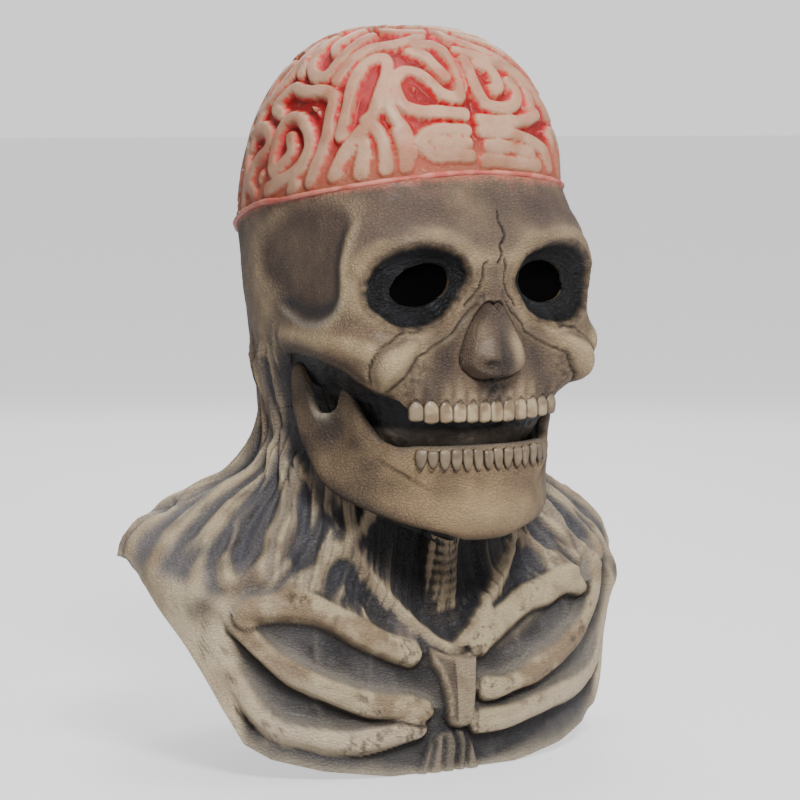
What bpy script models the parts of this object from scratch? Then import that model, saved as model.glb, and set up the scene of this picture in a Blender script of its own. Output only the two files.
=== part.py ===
"""Latex halloween mask: a skull face with an exposed brain, a sprung jaw, and a neck with a chest bib.

Blender Z is up, the face looks along -Y, and the wearer's right side is -X. The origin is the
flat underside of the crown pad, which rests on top of the wearer's head.
"""
import math

import bmesh
import bpy
import numpy as np

MM = 0.001
SKIN = 2.5              # thickness of the latex hood, mm
LINING = 1.2            # thickness of the thin black latex webs, mm
GAP = 0.35              # clearance between neighbouring pieces, mm
JAW_WALL = 3.0          # thickness of the jaw casting, mm
JAW_HINGE = (0.0, 2.0, -143.0)      # midpoint between the two jaw condyles, mm
DOME_TOP = (14.0, 41.0)             # y and z of the top of the brain, mm
EYE_CENTRE = (43.0, -98.0)          # x and z of the left eye hole, mm
EYE_SIZE = (17.5, 11.5)             # half width and half height of an eye hole, mm

# Level sections of the hood, top to bottom, mm: height at front, side and back, centre y, half
# width, front y, back y, and how square the section is at its front and at its back.
HOOD = [
    (-39, -55, -80, 12, 84, -66, 118, 2.7, 2.1),      # skull cut, under the brain
    (-63, -73, -94, 10, 85, -77, 111, 3.1, 2.1),      # forehead
    (-86, -92, -108, 8, 86, -80, 101, 4.0, 2.2),      # brow
    (-106, -110, -122, 6, 85, -77, 94, 4.3, 2.3),     # eyes
    (-134, -132, -138, 6, 82, -79, 90, 4.6, 2.4),     # cheekbones
    (-160, -152, -153, 10, 76, -78, 92, 3.2, 2.5),    # palate
    (-182, -170, -168, 13, 71, -72, 94, 2.7, 2.5),    # mouth
    (-206, -186, -183, 18, 70, -58, 97, 2.3, 2.5),    # behind the jaw
    (-238, -200, -200, 24, 77, -38, 103, 2.1, 2.3),   # throat
    (-268, -209, -214, 30, 90, -34, 110, 2.1, 2.2),   # root of the neck
    (-290, -219, -228, 38, 112, -40, 120, 2.1, 2.1),  # collar bones
    (-310, -234, -250, 44, 140, -46, 128, 2.1, 2.1),  # shoulders
    (-334, -252, -282, 46, 150, -49, 133, 2.1, 2.1),  # upper arms
    (-356, -300, -316, 44, 141, -48, 134, 2.1, 2.1),  # chest
    (-392, -372, -360, 44, 140, -46, 134, 2.1, 2.1),  # below the hem
]
SEAM, LAST = 0.0, len(HOOD) - 1.0

# Angle round the hood from the front, degrees, against level (a row number of HOOD) or height.
SKULL_EDGE = [(0, 5.4), (28, 5.4), (33, 5.05), (41, 4.9), (51, 4.45), (62, 4.2), (76, 4.15),
              (88, 4.25), (94, 5.9), (102, 6.0), (180, 6.0)]
LINING_EDGE = [(0, 6.9), (30, 6.8), (45, 6.5), (60, 6.3), (76, 6.3), (92, 6.2)]
NECK_EDGE = [(0, 8.0), (30, 7.9), (45, 7.6), (60, 7.2), (76, 6.8), (88, 6.4), (94, 5.93),
             (102, 6.03), (180, 6.03)]
HEM = [(0, -366), (25, -366), (45, -361), (58, -354), (64, -346), (70, -318), (76, -290),
       (84, -262), (92, -248), (108, -256), (128, -288), (150, -310), (180, -316)]

# Swells and hollows: centre, reach along x, y and z, and height outwards, mm. Both sides alike.
FACE_RELIEF = [
    ((42, -72, -99), (25, 40, 17), -10.0),    # eye socket
    ((40, -76, -74), (30, 30, 9), 4.5),       # brow ridge
    ((0, -80, -84), (14, 20, 10), 3.0),       # between the brows
    ((60, -68, -142), (15, 22, 13), 6.0),     # cheekbone
    ((78, -36, -133), (20, 30, 8), 4.0),      # cheek arch
    ((82, -24, -92), (24, 28, 26), -4.5),     # temple
    ((30, -80, -128), (10, 20, 16), -3.0),    # beside the nose
    ((0, -80, -166), (34, 24, 12), 2.0),      # tooth sockets
    ((70, -26, -172), (30, 46, 24), -7.0),    # behind the jaw's ramus
    ((72, -8, -207), (30, 30, 16), -5.0),     # under the jaw's angle
]
# Bones of the bib: x, y and z of the points along them, mm, then half width and height.
COLLAR_BONE = [(21, -43, -298), (36, -40, -291), (55, -36, -283), (88, -26, -270), (114, -18, -276)]
UPPER_RIB = [(20, -48, -326), (39, -46, -319), (78, -37, -307), (100, -27, -296), (118, -15, -284)]
LOWER_RIB = [(19, -48, -337), (49, -43, -342), (77, -34, -343), (102, -21, -339), (117, -9, -332)]
BREASTBONE = [(0, -43, -300), (0, -48, -322), (0, -49, -341), (0, -47, -368)]
WINDPIPE = [(0, -37, -238), (0, -35, -262), (0, -39, -288)]
NECK_MUSCLE = [(66, -14, -214), (52, -26, -246), (30, -35, -274), (10, -41, -291)]
BIB_RELIEF = [(COLLAR_BONE, 8, 6.5), (UPPER_RIB, 7, 6.0), (LOWER_RIB, 7, 6.0), (BREASTBONE, 10, 4.5),
              (WINDPIPE, 8, 4.0), (NECK_MUSCLE, 8, 4.0)]

# The jaw's outer face seen from above, from the chin back, and its outline unrolled: distance
# from the chin along the face, height of the upper edge and height of the lower edge, mm.
JAW_PLAN = [(0, -81), (17, -80), (34, -74), (48, -62), (61, -43), (71, -22), (76, 0), (77, 14)]
JAW_OUTLINE = [(0, -184, -236), (14, -184, -235), (28, -184, -231), (42, -184, -228),
               (58, -184, -224), (68, -178, -222), (76, -168, -219), (84, -156, -216),
               (90, -158, -213), (96, -166, -209), (102, -168, -204), (108, -160, -197),
               (113, -146, -191), (119, -140, -183), (124, -143, -168)]
TOOTH_COUNT = 12


def clear_scene():
    for item in list(bpy.data.objects):
        bpy.data.objects.remove(item, do_unlink=True)


def material(name, colour, roughness):
    found = bpy.data.materials.new(name)
    found.use_nodes = True
    shader = found.node_tree.nodes["Principled BSDF"]
    shader.inputs["Base Color"].default_value = (*colour, 1.0)
    shader.inputs["Roughness"].default_value = roughness
    shader.inputs["Metallic"].default_value = 0.0
    return found


def smooth(xs, ys, x):
    """A smooth curve through the points (xs, ys), read at x."""
    xs, ys = np.asarray(xs, float), np.asarray(ys, float)
    slope = np.gradient(ys, xs)
    i = np.clip(np.searchsorted(xs, x, side="right") - 1, 0, len(xs) - 2)
    step = xs[i + 1] - xs[i]
    u = (x - xs[i]) / step
    return ((2 * u**3 - 3 * u**2 + 1) * ys[i] + (u**3 - 2 * u**2 + u) * step * slope[i]
            + (3 * u**2 - 2 * u**3) * ys[i + 1] + (u**3 - u**2) * step * slope[i + 1])


def edge_at(table, angle):
    """A table of (degrees, value) read at each angle round the hood, both sides alike."""
    degrees, values = np.array(table, float).T
    return np.interp(np.degrees(np.abs(angle)), degrees, values)


def bare_hood(level, angle):
    """Points of the hood's outer face, mm, before its relief."""
    rows = np.arange(len(HOOD))
    front_z, side_z, back_z, centre, half, front_y, back_y, front_n, back_n = (
        smooth(rows, column, level) for column in zip(*HOOD))
    across, along = np.sin(angle), np.cos(angle)
    ahead = along >= 0
    reach = np.where(ahead, centre - front_y, back_y - centre)
    power = np.where(ahead, front_n, back_n)
    radius = ((np.abs(across) / half)**power + (np.abs(along) / reach)**power)**(-1 / power)
    height = side_z + (np.where(ahead, front_z, back_z) - side_z) * np.abs(along)**1.4
    return np.stack([radius * across, centre - radius * along, height], -1)


def line_distance(points, line):
    """Distance from each point to a line of points, mm."""
    best = np.full(points.shape[:-1], 1e9)
    line = np.array(line, float)
    for a, b in zip(line[:-1], line[1:]):
        share = np.clip((points - a) @ (b - a) / ((b - a) @ (b - a)), 0, 1)
        best = np.minimum(best, np.linalg.norm(points - a - share[..., None] * (b - a), axis=-1))
    return best


def relief(points):
    """Height of the modelled relief at points of the bare hood, mm, left and right alike."""
    near = points * [1, 1, 1]
    near[..., 0] = np.abs(near[..., 0])
    total = np.zeros(points.shape[:-1])
    for centre, reach, height in FACE_RELIEF:
        total += height * np.exp(-(((near - centre) / reach)**2).sum(-1))
    for line, half, height in BIB_RELIEF:
        total += height * np.exp(-(line_distance(near, line) / half)**2)
    return total


def hood(level, angle, out=0.0):
    """Points of the hood's outer face, mm, moved outwards by out."""
    level, angle = np.broadcast_arrays(np.asarray(level, float), np.asarray(angle, float))

    def face(lev, ang):
        bare = bare_hood(lev, ang)
        ahead = bare_hood(lev + 0.02, ang) - bare_hood(lev - 0.02, ang)
        round_ = bare_hood(lev, ang + 0.01) - bare_hood(lev, ang - 0.01)
        normal = np.cross(ahead, round_)
        normal /= np.linalg.norm(normal, axis=-1, keepdims=True)
        return bare + normal * relief(bare)[..., None]

    points = face(level, angle)
    ahead = face(level + 0.05, angle) - face(level - 0.05, angle)
    round_ = face(level, angle + 0.02) - face(level, angle - 0.02)
    normal = np.cross(ahead, round_)
    normal /= np.linalg.norm(normal, axis=-1, keepdims=True)
    return points + normal * np.asarray(out, float)[..., None]


def dome(rise, angle):
    """Points of the brain's outer face, mm: rise runs from 0 at the skull cut to 1 at the top."""
    rise, angle = np.broadcast_arrays(np.asarray(rise, float), np.asarray(angle, float))
    rim = bare_hood(np.zeros(angle.shape), angle)
    turn = rise * math.pi / 2
    inward, upward = np.cos(turn)**0.73, np.sin(turn)**1.02
    y, z = DOME_TOP
    points = np.stack([rim[..., 0] * inward, y + (rim[..., 1] - y) * inward,
                       rim[..., 2] + (z - rim[..., 2]) * upward], -1)
    furrow = 3.0 * np.exp(-(points[..., 0] / 5)**2) * np.sin(turn)**0.5
    points[..., 2] -= furrow
    return points


def angles_round(count):
    """Angles once round the hood, closer together at the front."""
    u = np.arange(count) / count * 2 - 1
    return math.pi * u - 0.35 * np.sin(math.pi * u)


def hem_level(angle):
    """Level at which the hood reaches the hem's height."""
    levels = np.linspace(8, LAST, 200)
    height = bare_hood(levels[:, None], angle[None, :])[..., 2]
    wanted = edge_at(HEM, angle)
    return np.array([np.interp(-wanted[j], -height[:, j], levels) for j in range(len(angle))])


def grid_mesh(name, rows, ring, closed_top=None):
    """A sheet of points[row, column, 3] in mm; ring joins the last column to the first."""
    bm = bmesh.new()
    verts = [[bm.verts.new([float(c) * MM for c in point]) for point in row] for row in rows]
    count = len(verts[0])
    for upper, lower in zip(verts[:-1], verts[1:]):
        for j in range(count if ring else count - 1):
            k = (j + 1) % count
            bm.faces.new((upper[j], lower[j], lower[k], upper[k]))
    if closed_top is not None:
        apex = bm.verts.new([c * MM for c in closed_top])
        for j in range(count):
            bm.faces.new((apex, verts[0][j], verts[0][(j + 1) % count]))
    mesh = bpy.data.meshes.new(name)
    bm.to_mesh(mesh)
    bm.free()
    return mesh


def place(name, mesh, paint, collection, parent=None):
    item = bpy.data.objects.new(name, mesh)
    mesh.materials.append(paint)
    for face in mesh.polygons:
        face.use_smooth = True
    if parent is not None:
        item.parent = parent
        for vertex in mesh.vertices:
            vertex.co -= parent.location
    collection.objects.link(item)
    return item


def thicken(item, thickness, outwards=False):
    """Solidify a sheet inwards (or outwards) to a closed skin."""
    skin = item.modifiers.new("skin", "SOLIDIFY")
    skin.thickness = thickness * MM
    skin.offset = 1.0 if outwards else -1.0
    skin.use_even_offset = False
    skin.use_rim = True
    return item


def closed_band(name, outer, inner):
    """A closed band between two open sheets of points with the same rows and columns, mm."""
    bm = bmesh.new()
    rows, count = outer.shape[:2]
    out = [[bm.verts.new([float(c) * MM for c in p]) for p in row] for row in outer]
    ins = [[bm.verts.new([float(c) * MM for c in p]) for p in row] for row in inner]
    for i in range(rows - 1):
        for j in range(count - 1):
            bm.faces.new((out[i][j], out[i + 1][j], out[i + 1][j + 1], out[i][j + 1]))
            bm.faces.new((ins[i][j], ins[i][j + 1], ins[i + 1][j + 1], ins[i + 1][j]))
    for j in range(count - 1):
        bm.faces.new((out[0][j], out[0][j + 1], ins[0][j + 1], ins[0][j]))
        bm.faces.new((out[-1][j], ins[-1][j], ins[-1][j + 1], out[-1][j + 1]))
    for i in range(rows - 1):
        bm.faces.new((out[i][0], ins[i][0], ins[i + 1][0], out[i + 1][0]))
        bm.faces.new((out[i][-1], out[i + 1][-1], ins[i + 1][-1], ins[i][-1]))
    bmesh.ops.recalc_face_normals(bm, faces=bm.faces)
    mesh = bpy.data.meshes.new(name)
    bm.to_mesh(mesh)
    bm.free()
    return mesh


def cut_eye_holes(item, cutters):
    """Cut an elliptical hole along Y through each eye socket."""
    for side in (-1, 1):
        hole = bpy.data.meshes.new("eye_cutter")
        bm = bmesh.new()
        bmesh.ops.create_cone(bm, cap_ends=True, segments=24, radius1=1, radius2=1, depth=2)
        for vertex in bm.verts:
            x, z, y = vertex.co
            vertex.co = ((side * EYE_CENTRE[0] + EYE_SIZE[0] * x) * MM, (-70 + 25 * y) * MM,
                         (EYE_CENTRE[1] + EYE_SIZE[1] * z) * MM)
        bm.normal_update()
        bmesh.ops.recalc_face_normals(bm, faces=bm.faces)
        bm.to_mesh(hole)
        bm.free()
        cutter = bpy.data.objects.new("eye_cutter", hole)
        cutter.hide_render = True
        cutter.display_type = "WIRE"
        cutters.objects.link(cutter)
        cut = item.modifiers.new("eye_hole", "BOOLEAN")
        cut.operation = "DIFFERENCE"
        cut.object = cutter


def skull_shell(paint, collection, cutters):
    angle = angles_round(44)
    foot = edge_at(SKULL_EDGE, angle)
    rows = [hood(foot * (i / 14), angle) for i in range(15)]
    item = place("skull_shell", grid_mesh("skull_shell", rows, True), paint, collection)
    thicken(item, SKIN)
    cut_eye_holes(item, cutters)


def neck_bib(paint, collection):
    angle = angles_round(46)
    top, foot = edge_at(NECK_EDGE, angle), hem_level(angle)
    rows = [hood(top + (foot - top) * (i / 15), angle) for i in range(16)]
    thicken(place("neck_bib", grid_mesh("neck_bib", rows, True), paint, collection), SKIN)


def brain_cap(paint, collection):
    angle = angles_round(36)
    rise = np.array([0.012, 0.1, 0.21, 0.33, 0.46, 0.59, 0.72, 0.85])
    rows = [dome(r, angle) for r in rise[::-1]]
    top = (0, DOME_TOP[0], DOME_TOP[1] - 3.0)
    mesh = grid_mesh("brain_cap", rows, True, closed_top=top)
    thicken(place("brain_cap", mesh, paint, collection), SKIN)


def brain_seam_bead(paint, collection):
    """A bead round the cut, outside the joint between the brain and the skull."""
    count, sides, radius = 44, 6, 1.5
    angle = angles_round(count)
    centre = hood(np.full(count, 0.02), angle, radius + GAP)
    outward = hood(np.full(count, 0.02), angle, 1.0) - hood(np.full(count, 0.02), angle, 0.0)
    outward /= np.linalg.norm(outward, axis=-1, keepdims=True)
    rows = []
    for k in range(sides):
        turn = k * math.tau / sides
        lift = np.zeros_like(centre)
        lift[:, 2] = 1.9 * math.sin(turn)
        rows.append(centre + outward * radius * math.cos(turn) + lift)
    bm = bmesh.new()
    verts = [[bm.verts.new([float(c) * MM for c in p]) for p in row] for row in rows]
    for i in range(sides):
        for j in range(count):
            near, far = (j + 1) % count, (i + 1) % sides
            bm.faces.new((verts[i][j], verts[i][near], verts[far][near], verts[far][j]))
    bmesh.ops.recalc_face_normals(bm, faces=bm.faces)
    mesh = bpy.data.meshes.new("brain_seam_bead")
    bm.to_mesh(mesh)
    bm.free()
    place("brain_seam_bead", mesh, paint, collection)


def nose_casting(paint, collection):
    """The filled nose opening: a pear-shaped plug that stands further out towards its tip."""
    # height, half width and y of the front, mm, from the top of the nose down
    stations = [(-107, 3, -82), (-114, 7, -85), (-124, 11, -88.5), (-134, 15, -91.5),
                (-142, 17, -93), (-148, 15, -92), (-152, 9, -88)]
    outer, inner = [], []
    for z, half, front in stations:
        x = half * np.linspace(-1, 1, 9)
        level = (-z - 106) / 28 + 3 if z > -134 else (-z - 134) / 26 + 4
        back = hood(np.full(9, level), np.arctan2(x, 84.0), GAP)[:, 1] - 0.5
        bulge = np.minimum(back - 1.5, front + (back - 1.5 - front) * np.abs(np.linspace(-1, 1, 9))**2.2)
        outer.append(np.stack([x, bulge, np.full(9, float(z))], -1))
        inner.append(np.stack([x, back, np.full(9, float(z))], -1))
    mesh = closed_band("nose_casting", np.array(outer), np.array(inner))
    place("nose_casting", mesh, paint, collection)


def tooth_profile(along):
    """Bulge of a row of teeth, 0 in the gaps and 1 on the crowns."""
    return np.abs(np.sin(math.pi * along * TOOTH_COUNT))**0.5


def upper_teeth(paint, collection):
    along = np.linspace(0, 1, TOOTH_COUNT * 3 + 1)
    angle = np.radians(-31 + 62 * along)
    crown = tooth_profile(along)
    outer, inner = [], []
    for level, depth in ((4.98, 1.2), (5.12, 2.6), (5.3, 3.6), (5.5, 3.4), (5.6, 2.0)):
        shorter = 0.06 * (1 - crown) * (level > 5.4)
        outer.append(hood(level - shorter, angle, GAP + 1.5 + depth * (0.45 + 0.55 * crown)))
        inner.append(hood(level - shorter, angle, GAP + 1.0))
    place("upper_teeth", closed_band("upper_teeth", np.array(outer), np.array(inner)), paint, collection)


def jaw_face(distance, out=0.0):
    """x and y of the jaw's outer face at a distance from the chin, moved outwards by out."""
    plan = np.array(JAW_PLAN, float)
    length = np.r_[0, np.cumsum(np.linalg.norm(np.diff(plan, axis=0), axis=1))]
    away = np.abs(distance)
    x, y = smooth(length, plan[:, 0], away), smooth(length, plan[:, 1], away)
    dx = smooth(length, plan[:, 0], away + 0.5) - smooth(length, plan[:, 0], away - 0.5)
    dy = smooth(length, plan[:, 1], away + 0.5) - smooth(length, plan[:, 1], away - 0.5)
    size = np.hypot(dx, dy)
    x, y = x + out * dy / size, y - out * dx / size
    return x * np.where(distance < 0, -1, 1), y


def jaw_points(distance, share, out=0.0):
    """Points of the jaw, mm: share runs from 0 at the upper edge to 1 at the lower edge."""
    table = np.array(JAW_OUTLINE, float).T
    upper = np.interp(np.abs(distance), table[0], table[1])
    lower = np.interp(np.abs(distance), table[0], table[2])
    z = upper + (lower - upper) * share
    chin = 4.0 * np.exp(-(distance / 22)**2 - ((z + 222) / 12)**2)
    tuck = -7.0 * np.clip((z + 214) / -22, 0, 1)**2 - 1.5 * np.exp(-((z + 204) / 8)**2)
    x, y = jaw_face(distance, out + chin + tuck * np.exp(-(distance / 75)**4))
    return np.stack([x, y, z], -1)


def jaw_shell(paint, collection, hinge):
    half = np.array([0, 7, 14, 21, 28, 35, 42, 50, 58, 68, 76, 84, 90, 96, 102, 108, 113, 119, 124.])
    distance = np.r_[-half[:0:-1], half]
    shares = np.linspace(0, 1, 8)
    outer = np.array([jaw_points(distance, s) for s in shares])
    inner = np.array([jaw_points(distance, s, -JAW_WALL) for s in shares])
    place("jaw_shell", closed_band("jaw_shell", outer, inner), paint, collection, hinge)


def lower_teeth(paint, collection, hinge):
    along = np.linspace(0, 1, TOOTH_COUNT * 3 + 1)
    distance = -45 + 90 * along
    crown = tooth_profile(along)
    outer, inner = [], []
    for share, depth in ((-0.02, 1.8), (0.04, 3.0), (0.12, 3.0), (0.2, 2.0), (0.26, 0.8)):
        shorter = 0.03 * (1 - crown) * (share > 0.15)
        outer.append(jaw_points(distance, share - shorter, GAP + 1.0 + depth * (0.45 + 0.55 * crown)))
        inner.append(jaw_points(distance, share - shorter, GAP + 0.5))
    mesh = closed_band("lower_teeth", np.array(outer), np.array(inner))
    place("lower_teeth", mesh, paint, collection, hinge)


def chin_pad(paint, collection, hinge):
    """Foam between the chin's inner face and the web behind it."""
    distance = np.arange(-28.0, 29.0, 7.0)
    shares = np.arange(3, 7) / 7
    outer = np.array([jaw_points(distance, s, -JAW_WALL - 0.8) for s in shares])
    inner = np.array([jaw_points(distance, s, -JAW_WALL - 6.8) for s in shares])
    place("chin_pad", closed_band("chin_pad", outer, inner), paint, collection, hinge)


def mouth_lining(paint, collection):
    """The black web behind the mouth and the jaw: lapped inside the skull's edge, then set back."""
    angle = np.radians(np.linspace(-91, 91, 29))
    top, foot = edge_at(SKULL_EDGE, angle) - 0.12, edge_at(LINING_EDGE, angle) - 0.02
    beside = np.clip((np.degrees(np.abs(angle)) - 26) / 16, 0, 1)
    rows = []
    for share, depth in ((0, 0), (0.14, 0.55), (0.32, 1), (0.55, 1), (0.8, 0.9), (1, 0.75)):
        out = -SKIN - 1.6 - 6.0 * depth * beside
        rows.append(hood(top + (foot - top) * share, angle, out))
    mesh = grid_mesh("mouth_lining", rows, False)
    thicken(place("mouth_lining", mesh, paint, collection), LINING)


def throat_web(paint, collection):
    """The thin skin under the chin, lapped inside the neck's upper edge."""
    angle = np.radians(np.linspace(-74, 74, 23))
    top, foot = edge_at(LINING_EDGE, angle) + 0.04, edge_at(NECK_EDGE, angle) + 0.1
    beside = np.clip((np.degrees(np.abs(angle)) - 26) / 16, 0, 1)
    rows = []
    for share, depth in ((0, 0.75), (0.3, 0.5), (0.6, 0.2), (0.85, 0.0), (1, 0)):
        rows.append(hood(top + (foot - top) * share, angle, -SKIN - 1.6 - 6.0 * depth * beside))
    mesh = grid_mesh("throat_web", rows, False)
    thicken(place("throat_web", mesh, paint, collection), LINING)


def eye_mesh(name, side, paint, collection):
    """Black gauze behind an eye hole, a little larger than it."""
    rings = []
    for share in (1.0, 0.66, 0.33):
        ring = []
        for k in range(20):
            turn = k * math.pi / 10
            x = side * EYE_CENTRE[0] + (EYE_SIZE[0] + 4) * share * math.cos(turn)
            z = EYE_CENTRE[1] + (EYE_SIZE[1] + 4) * share * math.sin(turn)
            ring.append(on_hood(x, z, -SKIN - 1.0))
        rings.append(ring)
    centre = on_hood(side * EYE_CENTRE[0], EYE_CENTRE[1], -SKIN - 1.0)
    mesh = grid_mesh(name, rings[::-1], True, closed_top=centre)
    if mesh.polygons[0].normal.y > 0:
        mesh.flip_normals()
    thicken(place(name, mesh, paint, collection), 0.8)


def on_hood(x, z, out):
    """The point of the hood's front at x and z, moved outwards by out."""
    level, angle = 2.8, math.atan2(x, 84.0)
    for _ in range(25):
        here = hood(level, angle, out)
        level -= (z - here[2]) / 24
        angle += (x - here[0]) / 95
    return hood(level, angle, out)


def crown_pad(paint, collection):
    """The foam block under the top of the brain; its flat underside rests on the head."""
    angle = np.linspace(-math.pi, math.pi, 33)[:-1]
    y = DOME_TOP[0]
    rows = []
    for radius in (12, 26, 39, 46):
        height = dome_height(radius, angle) - SKIN - 5.0
        rows.append(np.stack([radius * np.sin(angle), y - radius * np.cos(angle), height], -1))
    rows.append(np.stack([48 * np.sin(angle), y - 48 * np.cos(angle), np.full(32, 6.0)], -1))
    rows.append(np.stack([46 * np.sin(angle), y - 46 * np.cos(angle), np.full(32, 0.0)], -1))
    mesh = grid_mesh("crown_pad", rows, True, closed_top=(0, y, DOME_TOP[1] - 3 - SKIN - 5.0))
    bm = bmesh.new()
    bm.from_mesh(mesh)
    bmesh.ops.holes_fill(bm, edges=[e for e in bm.edges if e.is_boundary], sides=0)
    bmesh.ops.recalc_face_normals(bm, faces=bm.faces)
    bm.to_mesh(mesh)
    bm.free()
    place("crown_pad", mesh, paint, collection)


def dome_height(radius, angle):
    """Height of the brain's outer face at a radius from its top, mm."""
    rises = np.linspace(0.3, 1, 120)
    points = dome(rises[:, None], angle[None, :])
    away = np.hypot(points[..., 0], points[..., 1] - DOME_TOP[0])
    return np.array([np.interp(-radius, -away[:, j], points[:, j, 2]) for j in range(len(angle))])


def strip_pad(name, middle, spread, levels, paint, collection):
    """A foam strip 7 mm thick against the inside of the hood, in mm and degrees."""
    angle = np.radians(np.linspace(middle - spread, middle + spread, 13))
    rows = np.linspace(*levels, 5)
    outer = np.array([hood(np.full(13, r), angle, -SKIN - 1.6) for r in rows])
    inner = np.array([hood(np.full(13, r), angle, -SKIN - 8.2) for r in rows])
    place(name, closed_band(name, outer, inner), paint, collection)


def build():
    clear_scene()
    mask = bpy.data.collections.new("skull_mask")
    cutters = bpy.data.collections.new("cutters")
    for collection in (mask, cutters):
        bpy.context.scene.collection.children.link(collection)
    hinge = bpy.data.objects.new("jaw_hinge", None)
    hinge.location = [c * MM for c in JAW_HINGE]
    mask.objects.link(hinge)
    skull_shell(material("skull_latex", (0.46, 0.36, 0.26), 0.62), mask, cutters)
    brain_cap(material("brain_latex", (0.62, 0.27, 0.22), 0.5), mask)
    brain_seam_bead(material("bead_latex", (0.6, 0.25, 0.22), 0.55), mask)
    nose_casting(material("nose_latex", (0.2, 0.16, 0.12), 0.6), mask)
    upper_teeth(material("upper_tooth_paint", (0.5, 0.38, 0.28), 0.45), mask)
    for name, side in (("eye_mesh_right", -1), ("eye_mesh_left", 1)):
        eye_mesh(name, side, material(name + "_gauze", (0.01, 0.01, 0.01), 0.9), mask)
    mouth_lining(material("lining_latex", (0.015, 0.015, 0.015), 0.4), mask)
    throat_web(material("web_latex", (0.02, 0.02, 0.02), 0.45), mask)
    neck_bib(material("bib_latex", (0.42, 0.36, 0.29), 0.65), mask)
    crown_pad(material("crown_foam", (0.05, 0.05, 0.05), 0.95), mask)
    strip_pad("brow_pad", 0, 30, (0.35, 1.35), material("brow_foam", (0.05, 0.05, 0.05), 0.95), mask)
    strip_pad("nape_pad", 180, 26, (2.5, 4.6), material("nape_foam", (0.05, 0.05, 0.05), 0.95), mask)
    jaw_shell(material("jaw_latex", (0.38, 0.29, 0.2), 0.62), mask, hinge)
    lower_teeth(material("lower_tooth_paint", (0.42, 0.32, 0.22), 0.45), mask, hinge)
    chin_pad(material("chin_foam", (0.05, 0.05, 0.05), 0.95), mask, hinge)


build()
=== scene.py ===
"""Looks of the latex skull mask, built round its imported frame.

The hood is drawn on a chart: an angle round the head from the front, in degrees, with the
wearer's right side negative, and a level, which counts the rows of HOOD from the top. The brain
is drawn on a chart of the same angle and a rise from 0 at the skull cut to 100 at the top.
Drawings and reliefs are in mm. Materials, the floor, the lamps and the camera are in metres.
"""
import math

import bmesh
import bpy
import numpy as np
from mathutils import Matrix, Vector, kdtree

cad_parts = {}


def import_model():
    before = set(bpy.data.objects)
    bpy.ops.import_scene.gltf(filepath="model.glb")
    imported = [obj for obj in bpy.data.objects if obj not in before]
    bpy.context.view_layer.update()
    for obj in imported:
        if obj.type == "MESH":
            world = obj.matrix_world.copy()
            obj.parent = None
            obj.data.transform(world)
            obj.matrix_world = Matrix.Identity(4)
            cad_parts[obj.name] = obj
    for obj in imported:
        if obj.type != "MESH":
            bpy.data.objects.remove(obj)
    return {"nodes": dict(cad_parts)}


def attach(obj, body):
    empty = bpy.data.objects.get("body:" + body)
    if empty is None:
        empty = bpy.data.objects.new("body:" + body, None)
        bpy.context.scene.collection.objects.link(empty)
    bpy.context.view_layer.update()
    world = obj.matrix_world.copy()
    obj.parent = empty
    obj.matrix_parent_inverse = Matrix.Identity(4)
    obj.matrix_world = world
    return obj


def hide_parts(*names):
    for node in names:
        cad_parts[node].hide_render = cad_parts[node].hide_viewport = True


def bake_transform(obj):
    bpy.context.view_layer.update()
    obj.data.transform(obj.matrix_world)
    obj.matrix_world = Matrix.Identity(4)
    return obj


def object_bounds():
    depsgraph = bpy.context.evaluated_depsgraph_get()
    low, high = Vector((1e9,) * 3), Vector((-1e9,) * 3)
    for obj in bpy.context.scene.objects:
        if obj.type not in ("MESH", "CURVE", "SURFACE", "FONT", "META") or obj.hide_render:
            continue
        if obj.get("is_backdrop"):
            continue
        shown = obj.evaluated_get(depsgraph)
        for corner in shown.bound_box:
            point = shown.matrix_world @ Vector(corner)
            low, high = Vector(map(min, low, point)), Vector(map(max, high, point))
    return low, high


MM = 0.001
SKIN = 2.2  # thickness of the cast latex
WEB = 1.0  # thickness of the webs at the mouth and under the chin
WEB_GAP = 1.8  # how far the webs lie behind the skins
WEB_LAP = 0.12  # levels by which a web runs on behind the skin at its edge
JAW_WALL = 3.0
RIB_SPREAD = 1.12
FOLD = 5.7  # half width of a fold of the brain
FOAM_GRID, FOAM_FILL = 0.0018, 0.8
FLOOR_Z = -0.3665
SHARP = math.radians(72)


# ================================================================ driving shapes
# Level sections of the hood, top to bottom, mm: height at front, side and back, centre y, half
# width, front y, back y, and how square the section is at its front and at its back.
HOOD = [
    (-39, -55, -80, 12, 84, -66, 118, 2.7, 2.1), (-63, -73, -94, 10, 85, -77, 111, 3.1, 2.1),
    (-86, -92, -108, 8, 86, -80, 101, 4.0, 2.2), (-106, -110, -122, 6, 85, -77, 94, 4.3, 2.3),
    (-134, -132, -138, 6, 82, -79, 90, 4.6, 2.4), (-160, -152, -153, 10, 76, -78, 92, 3.2, 2.5),
    (-182, -170, -168, 13, 71, -72, 94, 2.7, 2.5), (-206, -186, -183, 18, 70, -58, 97, 2.3, 2.5),
    (-238, -200, -200, 24, 77, -38, 103, 2.1, 2.3), (-268, -209, -214, 30, 90, -34, 110, 2.1, 2.2),
    (-290, -219, -228, 38, 112, -40, 120, 2.1, 2.1), (-310, -234, -250, 44, 140, -46, 128, 2.1, 2.1),
    (-334, -252, -282, 46, 150, -49, 133, 2.1, 2.1), (-356, -300, -316, 44, 141, -48, 134, 2.1, 2.1),
    (-392, -372, -360, 44, 140, -46, 134, 2.1, 2.1)]
DOME_TOP = (14.0, 41.0)  # y and z of the brain's top
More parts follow.
